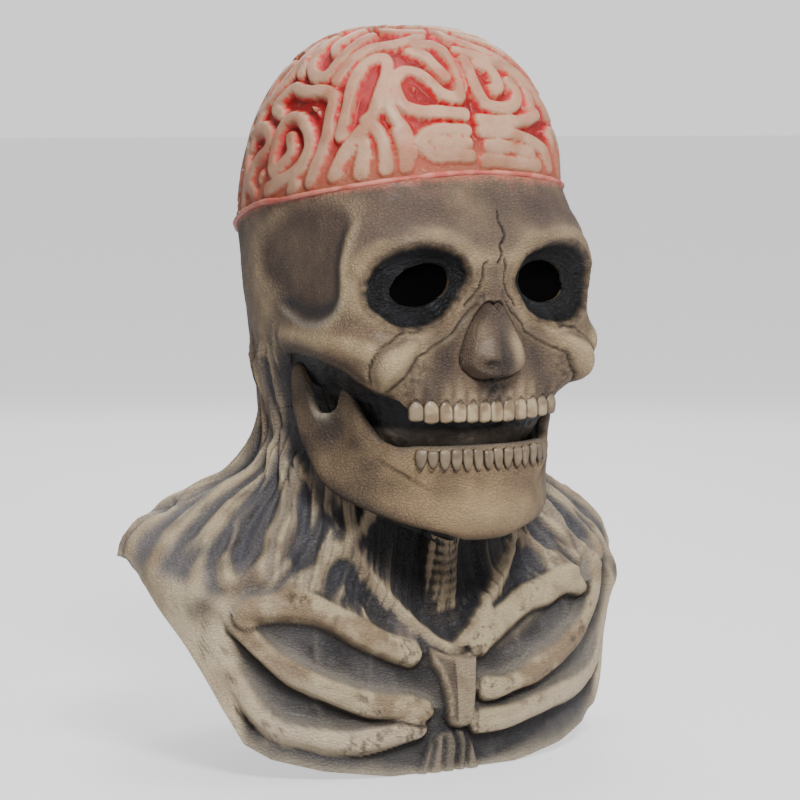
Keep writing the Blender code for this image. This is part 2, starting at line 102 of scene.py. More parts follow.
# Where the skull ends below, and where the webs and the neck begin: (degrees, level).
SKULL_EDGE = [(0, 5.4), (28, 5.4), (33, 5.05), (41, 4.9), (51, 4.45), (62, 4.2), (76, 4.15),
              (88, 4.25), (94, 5.9), (102, 6.0), (180, 6.0)]
LINING_EDGE = [(0, 6.9), (30, 6.8), (45, 6.5), (60, 6.3), (76, 6.3), (92, 6.2)]
NECK_EDGE = [(0, 8.0), (30, 7.9), (45, 7.6), (60, 7.2), (76, 6.8), (88, 6.4), (94, 5.92),
             (102, 6.0), (180, 6.0)]
# The bib's hem: (degrees, z).
HEM = [(0, -366), (25, -366), (45, -361), (58, -354), (64, -346), (70, -318), (76, -290),
       (84, -262), (92, -248), (108, -256), (128, -288), (150, -310), (180, -316)]
# Big swells and hollows of the face, alike on both sides: (centre, reach, height).
FACE_RELIEF = [
    ((40, -76, -74), (30, 30, 9), 4.5), ((0, -80, -84), (14, 20, 10), 3.0),
    ((60, -68, -142), (15, 22, 13), 6.0), ((78, -36, -133), (20, 30, 8), 4.0),
    ((82, -24, -92), (24, 28, 26), -4.5), ((30, -80, -128), (10, 20, 16), -3.0),
    ((0, -80, -166), (34, 24, 12), 2.0), ((70, -26, -172), (30, 46, 24), -7.0),
    ((72, -8, -207), (30, 30, 16), -5.0)]
# The jaw seen from above, from chin to hinge, (x, y), and its edges: (distance along that line
# from the chin, z of the upper edge, z of the lower edge).
JAW_PLAN = [(0, -81), (17, -80), (34, -74), (48, -62), (61, -43), (71, -22), (76, 0), (77, 14)]
JAW_OUTLINE = [(0, -184, -236), (14, -184, -235), (28, -184, -231), (42, -184, -228),
               (58, -184, -224), (66, -180, -222), (74, -169, -219), (80, -159, -217), (85, -153, -215),
               (88, -155, -214), (90, -162, -213), (94, -167, -211), (100, -168.5, -206),
               (106, -167, -199), (110, -160, -194), (113, -149, -190), (117, -143, -185),
               (124, -143, -168)]
# How far the mouth's web bulges out beside the mouth: (share of its height from the top, mm).
MOUTH_BULGE = [(0, 0), (0.2, 1.0), (0.4, 1.8), (0.55, 1.6), (0.8, 0.4), (1, 0)]

# ---------------------------------------------------------------- drawing: skull, both sides
SOCKET = [(-44, 2.5), (-41, 2.0), (-35, 1.7), (-27, 1.6), (-18, 1.7), (-12, 2.0), (-10, 2.5),
          (-14, 3.0), (-18, 3.3), (-26, 3.5), (-34, 3.5), (-40, 3.3), (-44, 3.0)]
EYE_HOLE = [(-34.5, 2.7), (-30.5, 2.2), (-24, 2.0), (-17, 2.1), (-14.5, 2.45), (-16, 2.85), (-22.5, 3.1),
            (-28.5, 3.12), (-33, 3.0)]
NOSE = [(2, 3.08), (-2, 3.3), (-6, 3.7), (-9, 4.1), (-8, 4.35), (-3, 4.5), (3, 4.56), (9, 4.46), (13, 4.2),
        (11, 3.75), (6, 3.3)]
TEMPLE = [(-48.5, 0.7), (-50, 1.3), (-52, 1.9), (-52.5, 2.5), (-54, 3.0), (-58, 3.3), (-66, 3.42),
          (-77, 3.3),
          (-90, 2.9), (-100, 2.2), (-101, 1.3), (-92, 0.7), (-74, 0.3), (-57, 0.3)]
MALAR = [(-41, 4.6), (-42, 4.2), (-40, 3.9), (-36, 3.75), (-31, 3.65), (-27, 3.75), (-28, 4.0), (-31, 4.3),
         (-34, 4.55), (-37, 4.8), (-40, 4.85)]
MALAR_SUTURE = [(-42, 4.65), (-42.2, 4.2), (-40, 3.9), (-37, 3.76), (-34, 3.62), (-29, 3.6)]
CHEEK_SUTURE = [(-37, 4.8), (-34, 4.55), (-32, 4.4), (-30.5, 4.2), (-29.5, 4.1), (-26, 4.0), (-22, 3.85),
                (-16, 3.66), (-12, 3.4), (-6, 3.1)]
BRIDGE_SUTURE = [(-11, 3.15), (-8, 2.95), (-5.5, 2.7), (-4.4, 2.35), (-4.8, 2.1), (-3.2, 2.0)]
CHEEK_ARCH = [(-44, 3.9), (-52, 3.75), (-62, 3.7), (-74, 3.7), (-86, 3.8)]
# the line of the painted shadow under the cheek arch
ARCH_SHADOW_LINE = [(-84, 4.05), (-74, 4.0), (-62, 4.05), (-51, 4.25), (-44, 4.55)]
BROW_BONE = [(-46, 2.05), (-39, 1.55), (-27, 1.4), (-15, 1.5), (-8, 1.95)]
FOREHEAD_CRACK = [(4, 0.85), (3.6, 1.1), (5, 1.35), (4, 1.5), (2, 1.68), (2.4, 1.85), (1, 2.05)]

# ---------------------------------------------------------------- drawing: neck and bib
# (half width, height, course), on both sides. A negative height is a hollow.
STRANDS = [
    (4.6, 5.5, [(-104, 3.8), (-106, 5.0), (-104, 6.2), (-97, 7.2), (-86, 8.4), (-79, 9.3), (-75, 10.0),
                      (-71, 10.5), (-68, 11.0), (-65.5, 11.3), (-63, 10.8), (-63, 10.2), (-66, 9.9),
                      (-69, 9.2), (-76, 8.5), (-87, 7.6), (-95, 6.8)]),
    (2.6, 2.5, [(-66, 10.9), (-66, 10.4), (-66, 9.9), (-70, 9.2)]),
    (4.4, 4.2, [(-97, 4.2), (-99, 5.4), (-95, 6.6), (-85, 7.6), (-74, 8.2), (-66, 9.0), (-62, 9.8),
                      (-61, 10.6), (-63, 11.3), (-66, 12.0)]),
    (3.8, 3.6, [(-90, 6.2), (-87, 6.9), (-80, 7.5), (-68, 8.1), (-62, 8.6), (-59, 9.3), (-58, 10.1),
                      (-59, 10.9), (-62, 11.7)]),
    (7.5, 4.0, [(-118, 4.2), (-121, 5.4), (-120, 6.6), (-117, 7.5), (-112, 8.9), (-101, 10.0),
                      (-93, 10.8), (-91, 11.8)]),
    (5.5, 3.4, [(-111, 4.6), (-113, 6.0), (-109, 7.0), (-101, 7.9), (-91, 9.3), (-85, 10.3),
                      (-82, 11.1), (-82, 12.0)]),
    (5.5, 2.6, [(-88, 8.6), (-82, 9.3), (-78, 10.1), (-74, 10.8), (-72, 11.5), (-71, 12.2)]),
    (5.0, 4.4, [(-124, 7.2), (-122, 8.2), (-118, 9.2), (-110, 10.1), (-103, 10.7), (-99, 11.2),
                      (-96, 12.0)]),
    (3.4, 3.0, [(-108, 10.2), (-98, 10.3), (-91, 10.6), (-90, 11.1)]),
    (7.0, 6.0, [(-70, 6.9), (-60, 7.5), (-50, 8.1), (-46, 8.6), (-49, 9.3), (-52, 10.1), (-54, 10.9)]),
    (5.6, 6.0, [(-40, 7.8), (-43, 8.2), (-45, 8.8), (-40, 9.2), (-30, 9.5), (-19, 9.8),
                      (-10, 10.1), (-1, 10.5)]),
    (3.4, 3.0, [(-58, 8.3), (-53, 8.6), (-47, 8.8)]),
    (3.0, 3.0, [(-40, 8.8), (-43, 9.5), (-42, 10.0)]),
    (3.4, 3.0, [(-54, 8.8), (-53, 9.6), (-49, 10.3)]),
    (2.4, 2.6, [(-36, 9.4), (-37, 9.9), (-34, 10.3)]),
    (7.0, 3.4, [(-134, 4.4), (-139, 6.0), (-139, 8.0), (-132, 9.6), (-123, 10.8), (-118, 11.9)]),
    (8.0, 3.4, [(-158, 4.2), (-160, 6.4), (-158, 8.4), (-150, 10.0), (-142, 11.4), (-140, 12.6)]),
    (7.0, 3.0, [(-173, 4.6), (-173, 6.8), (-171, 8.6), (-165, 10.4), (-160, 12.4)]),
    (5.0, 2.6, [(-147, 4.6), (-149, 7.2), (-145, 9.0), (-136, 10.6), (-130, 12.0)]),
    (2.4, 2.4, [(-127, 6.0), (-128, 8.0), (-122, 9.8), (-112, 11.0), (-106, 11.9)]),
]
HOLLOWS = [
    (9, -5.0, [(-84, 8.6), (-75, 9.6), (-69, 10.5)]),
    (6, -5.0, [(-68, 8.4), (-61, 9.2), (-56, 9.9)]),
    (6, -4.5, [(-57, 8.7), (-56, 9.7)]),
    (9, -5.0, [(-47, 9.6), (-38, 9.8), (-28, 10.1)]),
    (17, -8.0, [(-22, 8.1), (-16, 9.0), (-4, 9.8)]),
    (6, -3.5, [(-95, 10.6), (-101, 10.3)]),
    (6, -4.5, [(-89, 4.5), (-92, 5.4), (-90, 6.4), (-83, 7.2)]),
    (5, -3.0, [(-101, 4.6), (-102, 5.8), (-97, 7.0)]),
    (8, -2.6, [(-127, 5.0), (-130, 7.5), (-124, 9.4)]),
]
WINDPIPE = [(-3, 7.9), (-1, 8.5), (1, 9.0), (1, 9.8)]
# (half width, height, course), first the wearer's right side, then the left.
RIBS = [
    (8.2, 5.0, [(-61, 11.7), (-56, 11.2), (-52, 10.95), (-46, 10.75), (-35, 10.75), (-25, 10.75),
                (-18, 10.75)]),
    (7.4, 4.6, [(-63, 12.0), (-57, 12.3), (-50, 12.45), (-42, 12.4), (-31, 12.3), (-21, 12.05),
                (-14, 12.0)]),
    (8.0, 4.6, [(-68, 12.7), (-63, 13.05), (-57, 13.25), (-50, 13.25), (-38, 13.15), (-26, 12.85),
                (-17, 12.5)]),
    (8.2, 5.0, [(11, 10.55), (15, 10.4), (24, 10.25), (34, 10.3), (42, 10.5), (49, 10.7), (53, 11.1)]),
    (7.2, 4.6, [(11, 11.6), (18, 11.75), (28, 11.85), (40, 12.0), (49, 12.0), (57, 11.7), (62, 11.2)]),
    (8.0, 4.6, [(8, 12.35), (14, 12.45), (24, 12.6), (38, 12.85), (53, 13.05), (64, 13.0), (71, 12.6)]),
]
RIB_STRUTS = [[(-46, 11.2), (-45, 12.0)], [(-47, 12.6), (-45, 13.0)], [(47, 11.0), (48, 11.7)],
              [(-30, 11.2), (-31, 11.9)], [(28, 10.7), (27, 11.4)]]
BREASTBONE = [(-10.5, 10.45), (-1, 10.65), (10, 10.6), (8, 11.2), (6.5, 11.9), (4, 12.45), (-4.5, 12.35),
              (-6, 11.7), (-8, 11.2), (-10.5, 10.9)]
BELLY = [(-5, 12.4), (3, 12.4), (5.5, 12.7), (8, 13.0), (9, 13.6), (-15, 13.6), (-13.5, 13.0), (-9.5, 12.6)]
# (depth, course).
BELLY_FOLDS = [
    (1.6, [(-2, 12.5), (0, 12.9), (-1, 13.5)]), (1.4, [(-9, 12.8), (-10, 13.1), (-12, 13.5)]),
    (1.4, [(3, 12.6), (4, 12.9), (3.5, 13.5)]), (1.2, [(-5.5, 12.7), (-6, 13.5)]),
]

# ---------------------------------------------------------------- drawing: folds of the brain
RIGHT_FOLDS = [
    [(-92, 75), (-90, 66), (-84, 55), (-74, 49), (-67, 50), (-64, 58), (-60, 67), (-53, 76)],
    [(-17, 74), (-31, 68), (-42, 66), (-50, 64), (-55, 59), (-59, 52), (-61, 47)],
    [(-88, 45), (-77, 42), (-68, 42), (-60, 38), (-60, 29), (-60, 21), (-63, 12), (-66, 4)],
    [(-88, 45), (-94, 43), (-100, 37), (-92, 33)],
    [(-92, 4), (-83, 7), (-73, 10), (-68, 17), (-70, 25), (-78, 31), (-86, 30), (-90, 24), (-91, 16),
     (-88, 11), (-82, 14), (-78, 18), (-80, 23)],
    [(-120, 29), (-106, 29), (-97, 25), (-97, 20), (-106, 16), (-110, 10), (-104, 5)],
    [(-118, 22), (-116, 12), (-116, 2)],
    [(-54, 21), (-53, 33), (-52, 45), (-48, 55), (-40, 57), (-38, 49), (-40, 38), (-42, 29), (-45, 26)],
    [(-38, 49), (-38, 37), (-34, 26), (-30, 19), (-28, 10)],
    [(-10, 45), (-14, 50), (-19, 58), (-26, 61)],
    [(-22, 65), (-10, 66), (-3, 58), (-2, 48), (-2, 39), (-6, 34), (-13, 36), (-18, 42), (-23, 47),
     (-30, 49), (-34, 44), (-33, 37), (-30, 31), (-22, 28), (-13, 27), (-4, 26)],
    [(-4, 18), (-9, 19), (-18, 19), (-24, 15), (-20, 9), (-11, 8), (-3, 7)],
    [(-18, 14), (-10, 13.5), (-4, 13)],
    [(-56, 5), (-52, 14), (-47, 21), (-43, 24), (-39, 19), (-37, 11), (-37, 5)],
    [(-46, 4), (-45, 11), (-45, 16)],
    [(-33, 20), (-31, 13), (-30, 5)],
    [(-70, 62), (-76, 70), (-70, 82)],
    [(-46, 82), (-32, 80), (-12, 80)],
    [(-102, 72), (-100, 60), (-103, 51), (-108, 43), (-118, 38), (-130, 36)],
    [(-76, 2), (-74, 5)], [(-98, 60), (-90, 52)], [(-112, 58), (-122, 50), (-132, 46)],
]
LEFT_FOLDS = [
    [(5, 55), (5, 45), (6, 35), (10, 30), (21, 30), (28, 36), (27, 43)],
    [(13, 53), (19, 50), (19, 41), (15, 38)],
    [(4, 23), (14, 23), (26, 24), (36, 28)],
    [(4, 18), (15, 18), (26, 16), (35, 12), (38, 5)],
    [(4, 5), (17, 4.5), (30, 5)], [(6, 11.5), (18, 11.5), (27, 9.5)],
    [(4, 78), (6, 74), (16, 67), (26, 61), (34, 54), (40, 46), (44, 36), (52, 28)],
    [(4, 62), (15, 59), (25, 54), (33, 48), (36, 39), (34, 31)],
    [(48, 4), (46, 12), (44, 20), (52, 20), (56, 12), (58, 4)],
]
# The folds that come again behind: turned half round the head, and turned and mirrored.
BACK_FOLDS = [1, 2, 7, 8, 9, 10, 11, 12, 13, 14, 15]
BACK_FOLDS_TURNED = [7, 8, 9, 10, 11, 13]


# ================================================================ numbers and noise
def smooth(xs, ys, x):
    """A smooth curve through the points (xs, ys), read at x."""
    xs, ys = np.asarray(xs, float), np.asarray(ys, float)
    slope = np.gradient(ys, xs)
    i = np.clip(np.searchsorted(xs, x, side="right") - 1, 0, len(xs) - 2)
    step = xs[i + 1] - xs[i]
    u = (x - xs[i]) / step
    return ((2 * u**3 - 3 * u**2 + 1) * ys[i] + (u**3 - 2 * u**2 + u) * step * slope[i]
            + (3 * u**2 - 2 * u**3) * ys[i + 1] + (u**3 - u**2) * step * slope[i + 1])


def edge_at(table, angle):
    """An edge given for one side, as (degrees, value), read on both sides."""
    degrees, values = np.array(table, float).T
    return np.interp(np.degrees(np.abs(angle)), degrees, values)


def step(low, high, value):
    """0 at low, 1 at high, smooth between; falls where low is over high."""
    t = np.clip((value - low) / (high - low), 0, 1)
    return t * t * (3 - 2 * t)


def hump(*parts):
    """A smooth bump of height 1, from a value, its centre and its half width, once for each direction."""
    return np.exp(-sum(((value - centre) / width)**2
                       for value, centre, width in zip(parts[::3], parts[1::3], parts[2::3])))


_RNG = np.random.RandomState(7)
LATTICE = _RNG.rand(48, 48, 48).astype(np.float32) * 2 - 1


def noise(points, size, shift=0.0):
    """Smooth noise from -1 to 1 with a feature size in mm."""
    p = np.asarray(points) / size + shift + 1000.0
    i = np.floor(p).astype(int)
    f = p - i
    f = f * f * (3 - 2 * f)
    i %= 48
    j = (i + 1) % 48
    total = 0
    for a in (0, 1):
        x, wx = (i, 1 - f[..., 0]) if a == 0 else (j, f[..., 0])
        for b in (0, 1):
            y, wy = (i, 1 - f[..., 1]) if b == 0 else (j, f[..., 1])
            for c in (0, 1):
                z, wz = (i, 1 - f[..., 2]) if c == 0 else (j, f[..., 2])
                total = total + LATTICE[x[..., 0], y[..., 1], z[..., 2]] * wx * wy * wz
    return total


def cloud(points, size, octaves=3, shift=0.0):
    """Noise with finer noise on it."""
    return sum(noise(points, size / 2**k, shift + 13.7 * k) * 0.55**k for k in range(octaves))


def blur(field, size, ring=True):
    """Box blur, twice, over size cells each way."""
    for _ in range(2):
        for axis in (0, 1):
            pad = [(0, 0), (0, 0)]
            pad[axis] = (size, size)
            wide = np.pad(field, pad, mode="wrap" if ring and axis == 1 else "edge")
            total = np.cumsum(wide, axis=axis)
            span = 2 * size
            field = (np.take(total, range(span, span + field.shape[axis]), axis=axis)
                     - np.take(total, range(0, field.shape[axis]), axis=axis)) / span
    return field


def lowest(field, down, across):
    """The least value within a window of rows and columns; columns run round."""
    found = field.copy()
    for k in range(1, down + 1):
        found[k:] = np.minimum(found[k:], field[:-k])
        found[:-k] = np.minimum(found[:-k], field[k:])
    wide = found.copy()
    for k in range(1, across + 1):
        wide = np.minimum(wide, np.minimum(np.roll(found, k, 1), np.roll(found, -k, 1)))
    return wide


# ================================================================ surfaces and lines on them
def bare_hood(level, angle):
    """Points of the hood's outer face, mm, before any relief."""
    rows = np.arange(len(HOOD))
    front_z, side_z, back_z, centre, half, front_y, back_y, front_n, back_n = (
        smooth(rows, column, level) for column in zip(*HOOD))
    across, along = np.sin(angle), np.cos(angle)
    ahead = along >= 0
    reach = np.where(ahead, centre - front_y, back_y - centre)
    power = np.where(ahead, front_n, back_n)
    radius = ((np.abs(across) / half)**power + (np.abs(along) / reach)**power)**(-1 / power)
    height = side_z + (np.where(ahead, front_z, back_z) - side_z) * np.abs(along)**1.4
    return np.stack([radius * across, centre - radius * along, height], -1)


def bare_dome(rise, angle):
    """Points of the brain's outer face, mm; rise runs from 0 to 1."""
    rise, angle = np.broadcast_arrays(np.asarray(rise, float), np.asarray(angle, float))
    rim = bare_hood(np.zeros(angle.shape), angle)
    turn = rise * math.pi / 2
    inward, upward = np.cos(turn)**0.73, np.sin(turn)**1.02
    y, z = DOME_TOP
    return np.stack([rim[..., 0] * inward, y + (rim[..., 1] - y) * inward,
                     rim[..., 2] + (z - rim[..., 2]) * upward], -1)


def hood_base(level, angle):
    """The hood's grid with the big swells and hollows of the skull already in its shape."""
    bare = bare_hood(level, angle)
    near = bare.copy()
    near[..., 0] = np.abs(near[..., 0])
    lift = np.zeros(level.shape)
    for centre, reach, height in FACE_RELIEF:
        lift += height * np.exp(-(((near - centre) / reach)**2).sum(-1))
    return bare, lift


def course(points, surface, scale=1.0, fine=7):
    """A smooth line on a surface through chart points (degrees, level), as 3-D points, mm."""
    chart = np.array(points, float)
    if len(chart) == 1:
        chart = np.vstack([chart, chart + 0.01])
    t = np.arange(len(chart))
    u = np.linspace(0, len(chart) - 1, (len(chart) - 1) * fine + 1)
    if len(chart) > 2:
        deg, lev = smooth(t, chart[:, 0], u), smooth(t, chart[:, 1], u)
    else:
        deg, lev = np.interp(u, t, chart[:, 0]), np.interp(u, t, chart[:, 1])
    return surface(lev * scale, np.radians(deg))


def mirrored(points):
    return [(-a, b) for a, b in points]


def normals_of(points):
    """Outward normals of a grid of points: rows run down, columns run round the front, -X to +X."""
    down, across = np.gradient(points, axis=0), np.gradient(points, axis=1)
    normal = np.cross(down, across)
    return normal / np.maximum(np.linalg.norm(normal, axis=-1, keepdims=True), 1e-12)


class Skin:
    """A grid of points with its normals, and the relief and paint being worked on it."""

    def __init__(self, points):
        self.bare = points
        self.normal = normals_of(points)
        self.height = np.zeros(points.shape[:2])
        self.colour = np.zeros(points.shape)

    def distance(self, line, reach, rise=False):
        """Distance to a line where it is under reach mm, and reach elsewhere; rise adds how far
        each point lies above the line."""
        best = np.full(self.bare.shape[:2], float(reach))
        above = np.zeros(best.shape)
        low, high = line.min(0) - reach, line.max(0) + reach
        near = ((self.bare > low) & (self.bare < high)).all(-1)
        p = self.bare[near]
        if len(p):
            found, up = np.full(len(p), float(reach)), np.zeros(len(p))
            for a, b in zip(line[:-1], line[1:]):
                span = b - a
                share = np.clip((p - a) @ span / max(span @ span, 1e-9), 0, 1)
                off = p - a - share[:, None] * span
                far = np.linalg.norm(off, axis=1)
                closer = far < found
                found[closer], up[closer] = far[closer], off[closer, 2]
            best[near], above[near] = found, up
        return (best, above) if rise else best

    def placed(self):
        return self.bare + self.normal * self.height[..., None]


def inside(outline, level, angle):
    """True where a chart point lies inside a closed outline."""
    x, y = np.degrees(angle), level
    result = np.zeros(x.shape, bool)
    ends = np.array(outline, float)
    for (x1, y1), (x2, y2) in zip(ends, np.roll(ends, -1, axis=0)):
        crosses = (y1 > y) != (y2 > y)
        result ^= crosses & (x < (x2 - x1) * (y - y1) / ((y2 - y1) or 1e-9) + x1)
    return result


def closed(outline):
    """A smooth closed outline: finer chart points through the given ones."""
    pts = np.array(outline + outline[:3], float)
    t = np.arange(len(pts))
    u = np.linspace(1, len(outline) + 1, len(outline) * 6 + 1)[:-1]
    return [(a, b) for a, b in zip(smooth(t, pts[:, 0], u), smooth(t, pts[:, 1], u))]


def depth_inside(skin, outline, level, angle, reach):
    """Signed distance to an outline, mm: positive inside."""
    fine = closed(outline)
    line = course(fine + fine[:1], bare_hood, fine=1)
    far = skin.distance(line, reach)
    return np.where(inside(fine, level, angle), far, -far)


def hem_level(angle):
    levels = np.linspace(8, len(HOOD) - 1, 300)
    height = bare_hood(levels[:, None], angle[None, :])[..., 2]
    wanted = edge_at(HEM, angle)
    return np.array([np.interp(-wanted[j], -height[:, j], levels) for j in range(len(angle))])


def ring_angles(count):
    """Angles round the head, closer together in front."""
    u = np.arange(count) / count * 2 - 1
    return math.pi * u - 0.45 * np.sin(math.pi * u)


# ================================================================ paint
def srgb(r, g, b):
    """A tone given from 0 to 255, as linear light."""
    c = np.array([r, g, b]) / 255.0
    return np.where(c <= 0.04045, c / 12.92, ((c + 0.055) / 1.055)**2.4)


def mix(a, b, share):
    return a + (b - a) * np.asarray(share)[..., None]


def coats(colour, *layers):
    """Paint put on in coats: each is a tone, 0 to 255, and how far it covers."""
    for tone, cover in layers:
        colour = mix(colour, srgb(*tone), cover)
    return colour


LUMA = np.array([0.2126, 0.7152, 0.0722])
RICHNESS, RED_RICHNESS, PAINT_DEPTH = 1.2, 0.25, 0.70


def deepen(colour):
    """Paint as it is mixed: richer and darker than it looks once lit, the reds most of all."""
    grey = colour @ LUMA
    red = np.clip((colour[..., 0] - 1.7 * colour[..., 1]) / 0.2, 0, 1)
    rich = grey[..., None] + (colour - grey[..., None]) * (RICHNESS + RED_RICHNESS * red)[..., None]
    return np.clip(rich, 0.001, 1) * PAINT_DEPTH


BONE, BONE_MID, BONE_SHADE = srgb(214, 190, 156), srgb(178, 152, 122), srgb(128, 108, 92)
RAW = srgb(150, 132, 108)
INK = (30, 24, 20)


# ================================================================ meshes
def quads(rows, columns, ring, start=0, flip=False):
    i, j = np.meshgrid(np.arange(rows - 1), np.arange(columns if ring else columns - 1), indexing="ij")
    k = (j + 1) % columns
    face = np.stack([i * columns + j, (i + 1) * columns + j, (i + 1) * columns + k, i * columns + k], -1)
    face = face.reshape(-1, 4) + start
    return face[:, ::-1] if flip else face


def sheet_faces(rows, columns):
    """Faces of a closed sheet: an outer grid, an inner grid and the four edges between them."""
    n = rows * columns
    faces = [quads(rows, columns, False), quads(rows, columns, False, n, True)]
    j, i = np.arange(columns - 1), np.arange(rows - 1) * columns
    for a, b, flip in ((j, 1, False), ((rows - 1) * columns + j, 1, True),
                       (i, columns, True), (i + columns - 1, columns, False)):
        strip = np.stack([n + a, a, a + b, n + a + b], -1)
        faces.append(strip[:, ::-1] if flip else strip)
    return np.concatenate(faces)


def mesh_of(name, points, faces, colours=None):
    mesh = bpy.data.meshes.new(name)
    points = np.asarray(points, float).reshape(-1, 3) * MM
    faces = np.asarray(faces, np.int32)
    size = faces.shape[1]
    mesh.vertices.add(len(points))
    mesh.vertices.foreach_set("co", points.ravel())
    mesh.loops.add(faces.size)
    mesh.loops.foreach_set("vertex_index", faces.ravel())
    mesh.polygons.add(len(faces))
    mesh.polygons.foreach_set("loop_start", np.arange(len(faces)) * size)
    mesh.update(calc_edges=True)
    mesh.validate()
    mesh.polygons.foreach_set("use_smooth", np.ones(len(mesh.polygons), bool))
    if colours is not None:
        paint_on(mesh, deepen(np.asarray(colours, float).reshape(-1, 3)))
    return mesh


def paint_on(mesh, colours):
    layer = mesh.color_attributes.new("paint", "FLOAT_COLOR", "POINT")
    layer.data.foreach_set("color", np.c_[colours, np.ones(len(colours))].ravel())


def link(item):
    bpy.context.scene.collection.objects.link(item)
    return item


def applied(item):
    """The item's mesh with its modifiers worked in, and none left on it."""
    bpy.context.view_layer.update()
    mesh = bpy.data.meshes.new_from_object(item.evaluated_get(bpy.context.evaluated_depsgraph_get()))
    item.modifiers.clear()
    return mesh


def piece(name, mesh, paint, body):
    item = link(bpy.data.objects.new(name, mesh))
    item.data.materials.append(paint)
    if body:
        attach(item, body)
    return item


def thick_mesh(name, skin, inner_rows, ease=0):
    """A closed skin: the worked outer grid, and a smoother inner grid with fewer rows."""
    outer = skin.placed()
    rows, columns = outer.shape[:2]
    pick = np.unique(np.linspace(0, rows - 1, inner_rows).round().astype(int))
    floor = lowest(skin.height, rows // inner_rows + 1 + 2 * ease, 3 + 2 * ease)
    floor[0], floor[-1] = skin.height[0], skin.height[-1]
    if ease:
        # the inside of the rim stays even where the relief outside runs over it
        rim = lowest(skin.height[-1:], 0, 3 + 2 * ease)
        floor = blur(floor, ease)
        floor[0], floor[-1] = skin.height[0], blur(rim, ease)[0]
    inner = (skin.bare + skin.normal * (floor - SKIN)[..., None])[pick]
    count = len(pick)
    start = rows * columns
    j = np.arange(columns)
    k = (j + 1) % columns
    last, low = (rows - 1) * columns, start + (count - 1) * columns
    faces = np.concatenate([quads(rows, columns, True), quads(count, columns, True, start, True),
                            np.stack([start + j, j, k, start + k], -1),
                            np.stack([last + j, low + j, low + k, last + k], -1)])
    colours = np.concatenate([skin.colour.reshape(-1, 3),
                              np.broadcast_to(RAW, (count * columns, 3))])
    mesh = mesh_of(name, np.concatenate([outer.reshape(-1, 3), inner.reshape(-1, 3)]), faces, colours)
    mesh.set_sharp_from_angle(angle=SHARP)
    return mesh


def double_sided(name, skin):
    outer = skin.placed()
    inner = outer - skin.normal * WEB
    return mesh_of(name, np.concatenate([outer.reshape(-1, 3), inner.reshape(-1, 3)]),
                   sheet_faces(*outer.shape[:2]), np.concatenate([skin.colour.reshape(-1, 3)] * 2))


# ================================================================ materials
def painted(name, roughness, grain, depth, coat=0.0, mottle=0.12, speck=0.0, subsurface=0.05, shine=0.5):
    """Hand-painted latex: the paint laid on the casting, mottled and specked, with fine wrinkles."""
    made = bpy.data.materials.new(name)
    made.use_nodes = True
    nodes, links = made.node_tree.nodes, made.node_tree.links
    shader = nodes["Principled BSDF"]
    place = nodes.new("ShaderNodeTexCoord").outputs["Object"]
    flat = nodes.new("ShaderNodeMapping")
    flat.inputs["Scale"].default_value = (1, 1, 1.7)
    links.new(place, flat.inputs["Vector"])
    paint = nodes.new("ShaderNodeAttribute")
    paint.attribute_name = "paint"

    def noise_node(scale, detail=4.0, rough=0.6):
        found = nodes.new("ShaderNodeTexNoise")
        found.inputs["Scale"].default_value = scale
        found.inputs["Detail"].default_value = detail
        found.inputs["Roughness"].default_value = rough
        links.new(place, found.inputs["Vector"])
        return found.outputs["Fac"]

    def spread(source, low, high, start, end):
        found = nodes.new("ShaderNodeMapRange")
        for key, value in zip(("From Min", "From Max", "To Min", "To Max"), (start, end, low, high)):
            found.inputs[key].default_value = value
        links.new(source, found.inputs["Value"])
        return found.outputs["Result"]

    def tinted(colour, factor):
        found = nodes.new("ShaderNodeMix")
        found.data_type = "RGBA"
        found.blend_type = "MULTIPLY"
        found.inputs["Factor"].default_value = 1.0
        links.new(colour, found.inputs[6])
        links.new(factor, found.inputs[7])
        return found.outputs[2]

    blotch = spread(noise_node(90, 5, 0.65), 1 - mottle, 1 + mottle, 0.3, 0.7)
    colour = tinted(paint.outputs["Color"], blotch)
    if speck:
        dots = spread(noise_node(620, 3, 0.6), 1 - speck, 1.0, 0.32, 0.5)
        colour = tinted(colour, dots)
    links.new(colour, shader.inputs["Base Color"])
    links.new(spread(noise_node(160), roughness - 0.09, roughness + 0.09, 0.3, 0.7),
              shader.inputs["Roughness"])
    wrinkle = nodes.new("ShaderNodeTexVoronoi")
    wrinkle.feature = "DISTANCE_TO_EDGE"
    wrinkle.inputs["Scale"].default_value = grain * 0.55
    links.new(flat.outputs["Vector"], wrinkle.inputs["Vector"])
    height = nodes.new("ShaderNodeMath")
    height.operation = "ADD"
    links.new(noise_node(grain, 6, 0.7), height.inputs[0])
    links.new(spread(wrinkle.outputs["Distance"], 0.0, 0.35, 0.0, 0.12), height.inputs[1])
    bump = nodes.new("ShaderNodeBump")
    bump.inputs["Strength"].default_value = depth
    bump.inputs["Distance"].default_value = 0.0016
    links.new(height.outputs["Value"], bump.inputs["Height"])
    links.new(bump.outputs["Normal"], shader.inputs["Normal"])
    shader.inputs["Subsurface Weight"].default_value = subsurface
    shader.inputs["Subsurface Radius"].default_value = (0.004, 0.002, 0.001)
    shader.inputs["Coat Weight"].default_value = coat
    shader.inputs["Coat Roughness"].default_value = 0.3
    shader.inputs["Specular IOR Level"].default_value = shine
    return made


